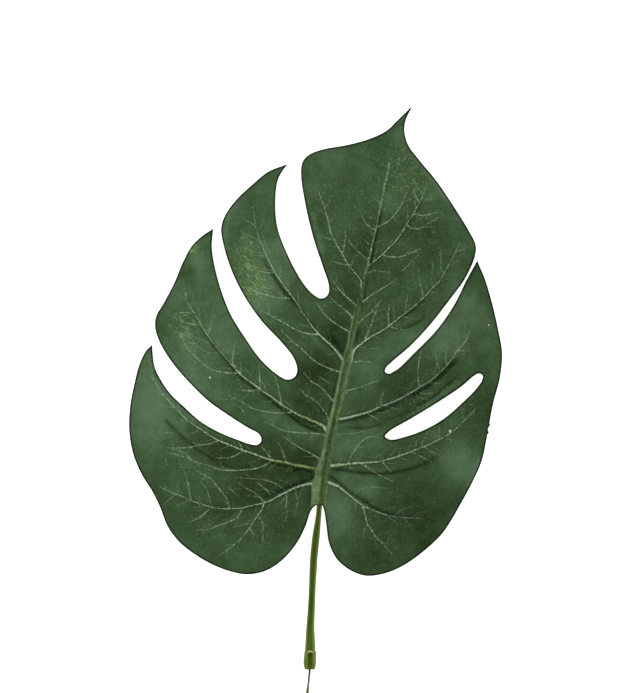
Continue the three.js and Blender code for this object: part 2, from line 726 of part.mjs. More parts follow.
function wireRings(from, to, radiusAt, step) {
  const steps = Math.round((to - from) / step);
  return Array.from({ length: steps + 1 }, (_, i) => {
    const y = from + ((to - from) * i) / steps;
    const p = wirePoint(y);
    const ahead = new THREE.Vector2(wirePoint(y + 0.5).x - wirePoint(y - 0.5).x, 1).normalize();
    const radius = radiusAt(y);
    const at = { x: p.x, y: p.y, z: p.z - wireSink(y) };
    return ring(at, ahead, radius, radius, WIRE_SIDES);
  });
}

function wireRadius(y) {
  const bead = BEAD.swell * Math.exp(-(((y - BEAD.y) / BEAD.reach) ** 2) * 3);
  return WIRE_RADIUS + bead;
}

function coreWireGeometry() {
  const inside = wireRings(-88, WIRE_TOP_Y, wireRadius, WIRE_STEP);
  const tail = wireRings(WIRE_END_Y + 1, -89, wireRadius, 0.9);
  const end = wireRings(WIRE_END_Y, WIRE_END_Y + 0.35, () => WIRE_RADIUS * 0.75, 0.35);
  return loft([end[0], ...tail, ...inside]);
}

function stemGeometry() {
  const { halfWidth, halfLength, rim: rimWidth, proud } = WINDOW;
  const rimTop = COLLAR_AXIS_HEIGHT + COLLAR_RADIUS + proud;
  const rim = longPrism(halfWidth + rimWidth, halfLength + rimWidth, COLLAR_AXIS_HEIGHT, rimTop);
  const window = longPrism(halfWidth, halfLength, COLLAR_AXIS_HEIGHT, rimTop + 1);
  const bore = loft(wireRings(COLLAR_END_Y - 1.5, WIRE_TOP_Y + 0.5, () => BORE_RADIUS, WIRE_STEP));
  let solid = solidOf(loft(stemRings())).add(solidOf(loft(collarRings())));
  for (const vein of sideVeins) {
    solid = solid.add(solidOf(loft(sideRibRings(vein))));
  }
  return geometryOf(solid.add(solidOf(rim)).subtract(solidOf(window)).subtract(solidOf(bore)));
}

// Colours and finish

const printedGreen = new THREE.MeshStandardMaterial({ color: 0x3c5a38, roughness: 0.62, metalness: 0 });
const stemGreen = new THREE.MeshStandardMaterial({ color: 0x53701f, roughness: 0.45, metalness: 0 });
const wireGreen = new THREE.MeshStandardMaterial({ color: 0x3f4a2c, roughness: 0.5, metalness: 0.2 });

function piece(name, geometry, material) {
  const mesh = new THREE.Mesh(geometry, material);
  mesh.name = name;
  return mesh;
}

const leaf = new THREE.Group();
leaf.add(piece("blade", bladeGeometry(), printedGreen));
leaf.add(piece("stem", stemGeometry(), stemGreen));
leaf.add(piece("core_wire", coreWireGeometry(), wireGreen));

const box = new THREE.Box3().setFromObject(leaf);
const middle = box.getCenter(new THREE.Vector3());
leaf.position.set(-middle.x, -middle.y, 0);

export default leaf;
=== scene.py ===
# %% [markdown]
# # A monstera leaf of printed cloth
#
# The object is an artificial leaf: a blade of printed cloth, pressed to shape over ribs, on a
# moulded plastic stem with a wire core. Its size, its place and its main form come from a fixed
# model that is loaded first and never moved. This lesson makes the looks: the cloth with its
# veins, print and dark cut edge, then the plastic and the wire.

# %% Tools and the fixed model
import math
import random

import bpy
import numpy as np
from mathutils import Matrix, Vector
from mathutils.bvhtree import BVHTree
from mathutils.geometry import delaunay_2d_cdt
from mathutils.kdtree import KDTree


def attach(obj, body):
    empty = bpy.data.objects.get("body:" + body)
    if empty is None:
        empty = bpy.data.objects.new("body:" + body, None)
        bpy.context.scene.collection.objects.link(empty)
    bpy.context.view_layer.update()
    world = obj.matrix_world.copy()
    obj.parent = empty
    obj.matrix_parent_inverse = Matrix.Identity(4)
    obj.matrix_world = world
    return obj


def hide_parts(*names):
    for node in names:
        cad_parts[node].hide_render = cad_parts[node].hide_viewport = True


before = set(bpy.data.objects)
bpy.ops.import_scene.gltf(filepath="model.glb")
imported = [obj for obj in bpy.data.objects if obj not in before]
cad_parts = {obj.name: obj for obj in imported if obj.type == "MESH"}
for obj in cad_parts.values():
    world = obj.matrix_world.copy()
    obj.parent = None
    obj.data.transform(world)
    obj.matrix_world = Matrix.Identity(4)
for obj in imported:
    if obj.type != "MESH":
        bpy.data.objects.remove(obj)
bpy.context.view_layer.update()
MM = 0.001
print("fixed model:", sorted(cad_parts))

# %% [markdown]
# ## A drawing frame in millimetres
#
# Leaves are easiest to draw flat, in millimetres, with the joint of stem and blade at (0, 0) and
# the tip up. The fixed model has its own origin, so one known point ties the two together: the
# drip tip, which is the blade's furthest point from the stem.

# %% From the drawing to the fixed model
DRIP_TIP = (45.3, 198.3)

tip = max((v.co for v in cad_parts["blade"].data.vertices), key=lambda co: co.y)
SHIFT_X = tip.x / MM - DRIP_TIP[0]
SHIFT_Y = tip.y / MM - DRIP_TIP[1]


def to_frame(points):
    """Points of the drawing, (x, y, z) in millimetres, as points of the fixed model in metres."""
    return (np.asarray(points, float) + (SHIFT_X, SHIFT_Y, 0.0)) * MM


def drawing_points(node):
    """The mesh points of a fixed node, in drawing millimetres."""
    return np.array([v.co for v in node.data.vertices]) / MM - (SHIFT_X, SHIFT_Y, 0)


print("the joint lies at", to_frame((0, 0, 0)).round(4), "in the model")

# %% [markdown]
# ## The camera
#
# The photograph looks straight at the leaf, so the camera looks straight down. A long lens from
# far away keeps the leaf's low margins and its higher middle at nearly one scale. The lens
# follows from the distance and from how many millimetres one pixel covers.

# %% Camera over the leaf
PHOTO_PIXELS = (630, 693)
JOINT_PIXEL = (320, 505)
MM_PER_PIXEL = 0.5
CAMERA_DISTANCE = 3.0
SENSOR_WIDTH = 36.0
# The scale is exact at this height, between the leaf's low margins and its top
SCALE_HEIGHT = 8 * MM

middle = to_frame((
    (PHOTO_PIXELS[0] / 2 - JOINT_PIXEL[0]) * MM_PER_PIXEL,
    (JOINT_PIXEL[1] - PHOTO_PIXELS[1] / 2) * MM_PER_PIXEL,
    0,
))
camera_data = bpy.data.cameras.new("overhead")
camera_data.sensor_width = SENSOR_WIDTH
camera_data.lens = SENSOR_WIDTH * CAMERA_DISTANCE / (PHOTO_PIXELS[1] * MM_PER_PIXEL * MM)
camera = bpy.data.objects.new("overhead", camera_data)
camera.location = (middle[0], middle[1], SCALE_HEIGHT + CAMERA_DISTANCE)
bpy.context.scene.collection.objects.link(camera)
bpy.context.scene.camera = camera
print("lens of", round(camera_data.lens), "mm at", CAMERA_DISTANCE, "m")

# %% [markdown]
# ## Floor and light
#
# The photograph has a white ground and soft light that comes mainly from the upper left. A wide
# area lamp gives that side light, a second one lifts the shadows, and an even pale sky fills the
# rest. The floor is a plain sheet well larger than the view, with a glow that keeps it white.

# %% Floor, lamps and sky
WHITE = (1, 1, 1, 1)
FLOOR_PALE = (0.86, 0.86, 0.86, 1)
FLOOR_SIZE = 6.0
FLOOR_GLOW = 0.85
SKY_STRENGTH = 0.62
KEY_LAMP = {"place": (-0.9, 0.75, 1.25), "size": 0.7, "power": 15.0}
FILL_LAMP = {"place": (0.9, -0.7, 1.6), "size": 1.6, "power": 4.0}


def new_material(name):
    """A material with its nodes on, and its main shader."""
    material = bpy.data.materials.new(name)
    material.use_nodes = True
    return material, material.node_tree.nodes["Principled BSDF"]


def make_floor():
    """A flat pale sheet under the leaf, which isn't part of it."""
    half = FLOOR_SIZE / 2
    mesh = bpy.data.meshes.new("floor")
    corners = [(-half, -half, 0), (half, -half, 0), (half, half, 0), (-half, half, 0)]
    mesh.from_pydata(corners, [], [(0, 1, 2, 3)])
    material, shader = new_material("pale_floor")
    shader.inputs["Base Color"].default_value = FLOOR_PALE
    shader.inputs["Roughness"].default_value = 0.9
    shader.inputs["Emission Color"].default_value = WHITE
    shader.inputs["Emission Strength"].default_value = FLOOR_GLOW
    mesh.materials.append(material)
    floor = bpy.data.objects.new("floor", mesh)
    bpy.context.scene.collection.objects.link(floor)


def make_lamp(name, place, size, power):
    """A square lamp that shines towards the origin."""
    data = bpy.data.lights.new(name, "AREA")
    data.size = size
    data.energy = power
    lamp = bpy.data.objects.new(name, data)
    lamp.location = place
    lamp.rotation_mode = "QUATERNION"
    lamp.rotation_quaternion = lamp.location.to_track_quat("Z", "Y")
    bpy.context.scene.collection.objects.link(lamp)


make_floor()
make_lamp("key", **KEY_LAMP)
make_lamp("fill", **FILL_LAMP)
sky = bpy.data.worlds.new("sky")
sky.use_nodes = True
background = sky.node_tree.nodes["Background"]
background.inputs["Color"].default_value = WHITE
background.inputs["Strength"].default_value = SKY_STRENGTH
bpy.context.scene.world = sky
bpy.context.scene.view_settings.view_transform = "Standard"
print("two lamps and a sky of strength", SKY_STRENGTH)

# %% [markdown]
# ## Smooth lines
#
# Every line here, from the midrib to the finest vein, is a few given points with a smooth
# curve through them. The curve is a spline that passes through all its points. Each stretch of
# it is timed by the square root of its length, so it doesn't overshoot where the points are
# unevenly spaced.

# %% A curve through points
# How many points are compared with a line at one time
BLOCK = 1000


def smooth_line(points, step):
    """Evenly spaced points on a smooth curve through the given ones."""
    knots = np.asarray(points, float)
    before, after = 2 * knots[:1] - knots[1:2], 2 * knots[-1:] - knots[-2:-1]
    padded = np.concatenate((before, knots, after))
    dense = [knots[:1]]
    for p0, p1, p2, p3 in zip(padded, padded[1:], padded[2:], padded[3:]):
        t1 = math.sqrt(np.linalg.norm(p1 - p0))
        t2 = t1 + math.sqrt(np.linalg.norm(p2 - p1))
        t3 = t2 + math.sqrt(np.linalg.norm(p3 - p2))
        count = max(2, math.ceil(2 * np.linalg.norm(p2 - p1) / step))
        t = np.linspace(t1, t2, count + 1)[1:, None]
        a1 = (t1 - t) / t1 * p0 + t / t1 * p1
        a2 = (t2 - t) / (t2 - t1) * p1 + (t - t1) / (t2 - t1) * p2
        a3 = (t3 - t) / (t3 - t2) * p2 + (t - t2) / (t3 - t2) * p3
        b1 = (t2 - t) / t2 * a1 + t / t2 * a2
        b2 = (t3 - t) / (t3 - t1) * a2 + (t - t1) / (t3 - t1) * a3
        dense.append((t2 - t) / (t2 - t1) * b1 + (t - t1) / (t2 - t1) * b2)
    dense = np.concatenate(dense)
    along = np.concatenate(([0], np.cumsum(np.linalg.norm(np.diff(dense, axis=0), axis=1))))
    even = np.linspace(0, along[-1], max(2, round(along[-1] / step)) + 1)
    return np.column_stack([np.interp(even, along, axis) for axis in dense.T])


def in_blocks(points):
    """The points in blocks, so that comparing each with a whole line takes little memory."""
    return [points[k : k + BLOCK] for k in range(0, max(1, len(points)), BLOCK)]


def near_line(points, line):
    """For each point: how far it is from the line, how far along it (0 to 1), and on which side."""
    start, run = line[:-1], np.diff(line, axis=0)
    lengths = np.linalg.norm(run, axis=1)
    before = np.concatenate(([0], np.cumsum(lengths)))
    found = []
    for block in in_blocks(points):
        off = block[:, None, :] - start[None]
        share = np.clip((off * run).sum(2) / lengths**2, 0, 1)
        gap = off - share[..., None] * run
        distance = np.linalg.norm(gap, axis=2)
        best = distance.argmin(1)
        rows = np.arange(len(block))
        along = (before[best] + share[rows, best] * lengths[best]) / before[-1]
        side = np.sign(run[best, 0] * gap[rows, best, 1] - run[best, 1] * gap[rows, best, 0])
        found.append((distance[rows, best], along, side))
    return [np.concatenate(column) for column in zip(*found)]


print("a straight test line has", len(smooth_line([(0, 0), (5, 0), (10, 0)], 1.0)), "points")

# %% [markdown]
# ## The blade's form, read from the fixed model
#
# The fixed blade is a thin solid of flat triangles. Its top gives two things: the outline, and
# the height of the cloth at any place. Flat triangles would show as facets in side light, so each
# corner's slope bends the triangle into a smooth patch before the fine cloth is laid on it.

# %% Top triangles, heights and slopes
CAD_THICKNESS = 0.7
LEAST_UPWARD = 0.2


def read_top(node):
    """A node's corners in drawing millimetres, and its upward triangles with their normals."""
    mesh = node.data
    mesh.calc_loop_triangles()
    corners, shared = np.unique(drawing_points(node).round(3), axis=0, return_inverse=True)
    triangles = shared.reshape(-1)[np.array([t.vertices for t in mesh.loop_triangles])]
    edge_1 = corners[triangles[:, 1]] - corners[triangles[:, 0]]
    edge_2 = corners[triangles[:, 2]] - corners[triangles[:, 0]]
    normals = np.cross(edge_1, edge_2)
    upward = normals[:, 2] > LEAST_UPWARD * np.linalg.norm(normals, axis=1)
    return corners, triangles[upward], normals[upward]


def corner_slopes(count, triangles, normals):
    """The slope of the surface at each corner, averaged over its triangles by area."""
    weight = np.zeros(count)
    slopes = np.zeros((count, 2))
    for k in range(3):
        np.add.at(weight, triangles[:, k], normals[:, 2])
        np.add.at(slopes, triangles[:, k], -normals[:, :2])
    return slopes / np.maximum(weight, 1e-9)[:, None]


top_corners, top_triangles, top_normals = read_top(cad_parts["blade"])
top_slopes = corner_slopes(len(top_corners), top_triangles, top_normals)
flat_corners = top_corners * (1, 1, 0)
flat_tree = BVHTree.FromPolygons(flat_corners.tolist(), top_triangles.tolist())


def cloth_underside(points):
    """Height of the cloth's underside at points of the drawing, smooth from triangle to triangle."""
    found = [flat_tree.find_nearest((x, y, 0))[2] for x, y in points]
    corners = top_triangles[found]
    a, b, c = (top_corners[corners[:, k], :2] for k in range(3))
    whole = np.cross(b - a, c - a)
    share_b = np.cross(points - a, c - a) / whole
    share_c = np.cross(b - a, points - a) / whole
    shares = np.column_stack((1 - share_b - share_c, share_b, share_c))
    height = np.zeros(len(points))
    for k in range(3):
        corner = top_corners[corners[:, k]]
        lean = (top_slopes[corners[:, k]] * (points - corner[:, :2])).sum(1)
        height += shares[:, k] * (corner[:, 2] + lean / 2)
    return np.maximum(0, height - CAD_THICKNESS)


print(len(top_triangles), "triangles give the form, up to", round(top_corners[:, 2].max(), 1), "mm high")

# %% [markdown]
# ## The outline
#
# The border of those triangles is the cut edge of the cloth. It is walked into closed loops and
# smoothed again, but the tips of the lobes stay sharp: a corner that turns more than 100 degrees
# ends one curve and starts the next. In the photograph the hot cut left a melted bead all round,
# so the loops grow outwards by its width, a little more on margins that face left. The frayed
# spot on the right margin and the drip tip stand out further.

# %% Edge loops of the cloth
EDGE_STEP = 0.55
SHARP_TURN = math.radians(100)
WRAP = 3
LEAST_MITRE = 0.2
BEAD_WIDTH = 0.3
LEFT_BEAD = 0.18
BUMP_REACH = 0.7
EDGE_BUMPS = [
    # x, y, how far the edge stands out there
    (84.3, 40.0, 0.55), (83.5, 38.1, -0.4), (83.6, 36.3, 0.55), (82.6, 34.9, -0.3), (45.3, 198.3, 0.25),
]


def border_loops(triangles):
    """The edges that only one triangle has, walked into closed loops of corner numbers."""
    edges = {(int(a), int(b)) for t in triangles for a, b in zip(t, np.roll(t, -1))}
    after = {a: b for a, b in edges if (b, a) not in edges}
    loops = []
    while after:
        first = min(after)
        loop = [first]
        while (following := after.pop(loop[-1])) != first:
            loop.append(following)
        loops.append(loop)
    return sorted(loops, key=len, reverse=True)


def smooth_loop(points):
    """A closed loop with smooth curves between its sharp corners."""
    ahead = np.roll(points, -1, axis=0) - points
    behind = np.roll(ahead, 1, axis=0)
    turn = np.abs(np.arctan2(np.cross(behind, ahead), (behind * ahead).sum(1)))
    sharp = np.flatnonzero(turn > SHARP_TURN)
    if len(sharp) == 0:
        line = smooth_line(np.concatenate((points[-WRAP:], points, points[: WRAP + 1])), EDGE_STEP / 4)
        from_first = np.linalg.norm(line - points[0], axis=1)
        half = len(line) // 2
        start, end = from_first[:half].argmin(), half + from_first[half:].argmin()
        return smooth_line(line[start : end + 1 : 2], EDGE_STEP)[:-1]
    points = np.roll(points, -sharp[0], axis=0)
    ends = [*(sharp - sharp[0]), len(points)]
    closed = np.concatenate((points, points[:1]))
    runs = [smooth_line(closed[a : b + 1], EDGE_STEP)[:-1] for a, b in zip(ends, ends[1:])]
    return np.concatenate(runs)


def grown_loop(points):
    """The loop moved outwards by the bead's width, with mitred tips and the bumps on the edge."""
    ahead = np.roll(points, -1, axis=0) - points
    ahead /= np.linalg.norm(ahead, axis=1)[:, None]
    outward = np.column_stack((ahead[:, 1], -ahead[:, 0]))
    before = np.roll(outward, 1, axis=0)
    mitre = (outward + before) / (1 + (outward * before).sum(1)).clip(LEAST_MITRE)[:, None]
    growth = BEAD_WIDTH + LEFT_BEAD * np.clip(-outward[:, 0], 0, 1)
    for x, y, push in EDGE_BUMPS:
        growth += push * np.exp(-((points - (x, y)) ** 2).sum(1) / BUMP_REACH**2)
    return points + mitre * growth[:, None]


edge_loops = [grown_loop(smooth_loop(top_corners[loop, :2])) for loop in border_loops(top_triangles)]
print("edge loops of", [len(loop) for loop in edge_loops], "points")

# %% [markdown]
# ## Veins
#
# The pressed and printed veins give the leaf its look. The midrib, the side veins and their
# branches are drawn, each with a root width and a strength. They are pressed into the
# cloth as low ridges, so they need rows of mesh points beside them, and a paint value for the
# pale print on top.

# %% Midrib and side veins, listed
MIDRIB = [
    (-0.8, -1), (-0.5, 4), (-0.1, 9), (0.35, 11.5), (0.9, 14), (1.4, 17), (2, 19.5), (2.8, 22.5),
    (4.3, 28.8), (5.3, 35), (6.7, 41), (8.1, 47.5), (9.3, 52.5), (10.2, 56), (11.1, 60.5), (12.1, 65.4),
    (13, 69.6), (13.6, 73.2), (14.3, 76.8), (15, 80.4), (15.7, 83.9), (16.5, 87.5), (17.4, 92),
    (19, 98), (20.4, 103), (21.6, 109), (23, 116), (24.1, 122), (25.5, 128), (27.1, 134), (28.4, 140),
    (29.7, 147), (31, 154), (32.6, 161), (34.2, 168), (35.8, 175),
]
MIDRIB_HALF_WIDTHS = [
    # y, half width
    (-1, 3.7), (4, 3.8), (9, 4.05), (11.3, 4.15), (13, 3.4), (15, 3.4), (17.3, 4), (19.5, 3.2),
    (22, 2.85), (35, 2.9), (41, 2.6), (48, 2.35), (59, 2.35), (65, 2.45), (72, 2.4), (76.8, 1.85),
    (80.4, 1.55), (84, 1.6), (87.5, 1.7), (92, 1.55), (98, 1.15), (104, 1.05), (112, 0.95), (118, 0.7),
    (122, 0.4), (175, 0.3),
]

SIDE_VEINS = [
    # Left half, from the joint to the tip: width at the root, strength, points
    (1.25, 1.0, [
        (-3.5, 10.9), (-6, 10.6), (-9, 10), (-12, 8.8), (-16, 7), (-20, 4.9), (-24, 2.7), (-28, 1.1),
        (-32, 0.3), (-38.5, -1.3), (-42, -1.7), (-48, -1.9), (-54, -1.2), (-58, -0.1), (-62, 1.2),
        (-65, 2.2), (-69, 4.2), (-75, 6.4), (-80, 9),
    ]),
    (1.6, 1.0, [
        (0.5, 17.7), (-2.5, 18.2), (-6.7, 19.2), (-9.6, 19.6), (-12.2, 20), (-17.3, 21.4),
        (-23.3, 22.5), (-27.5, 23.6), (-32, 25.3), (-39, 27.6), (-45, 30), (-52, 33), (-60, 38),
        (-66, 42.2), (-72, 48), (-76, 52.4), (-79, 55.7), (-82, 60.5), (-84.5, 66),
    ]),
    (1.35, 1.0, [
        (3, 37.5), (1.5, 39.7), (-1, 41), (-6, 43.2), (-11, 45.4), (-15, 47.8), (-19.5, 50.5),
        (-24, 54), (-28, 56.6), (-31, 58.9), (-36, 62.4), (-40, 65.5), (-45, 71), (-50, 76.8),
        (-55, 82.8), (-60, 91), (-62.5, 95.3), (-65, 99), (-66.6, 102.5), (-67.5, 107),
    ]),
    (1.2, 1.0, [
        (11, 73), (9, 76), (5, 80.3), (0, 84.8), (-3, 88.3), (-6, 92.2), (-10, 98.2), (-13, 103),
        (-15.5, 106.2), (-18, 109.6), (-22, 115.6), (-26, 123), (-29.5, 131), (-32, 138), (-33.5, 149),
    ]),
    (0.95, 0.9, [
        (20.6, 104), (21.1, 106.2), (20.6, 108.6), (20.7, 110.6), (20.2, 112.3), (17, 116.5),
        (14.5, 119.6), (11, 125.5), (9, 129), (7, 132.5), (5.5, 135.5), (4.7, 139),
        (3.6, 144), (1.5, 150.5), (-0.5, 156),
    ]),
    # Right half
    (1.5, 0.95, [
        (3.2, 11.7), (6, 10.8), (9, 9.4), (12, 7.1), (15, 4.8), (18, 2.3), (20, 0.8), (22, -0.5),
        (25, -2), (28, -3.2), (35, -5.3), (42, -6.3), (50, -6.8),
    ]),
    (1.4, 1.0, [
        (5.2, 19.7), (10, 20.2), (15, 20.8), (20, 21.2), (25, 21.4), (30, 22), (35, 23.2), (40, 24.8),
        (45, 26.5), (50, 28.5), (55, 30.5), (60, 33), (65, 35.8), (70, 40), (75, 45), (78, 48.2),
    ]),
    (1.3, 1.0, [
        (8.5, 43), (14, 43.9), (20, 45.4), (25, 46.9), (30, 49.3), (35, 51), (40, 53.3), (45, 56),
        (50, 59.2), (55, 62), (60, 66.5), (65, 72), (69, 77.5), (73, 82.3), (75, 87),
    ]),
    (1.35, 0.95, [
        (15.7, 72.3), (16.1, 75), (17.5, 78), (20, 80.2), (23, 82.5), (28, 85.5), (33, 88.4), (40, 94),
        (44, 97), (50, 102), (54, 106), (57, 109.4), (60, 112.3), (62, 116), (64, 119.5), (67.5, 126),
        (69.5, 130.5),
    ]),
    (1.0, 0.9, [
        (24.3, 119), (27, 121.8), (31, 125), (35, 129), (38, 132.2), (41, 136.5), (44, 141.5),
        (47, 146), (49, 150), (51, 153.5), (53, 159),
    ]),
]

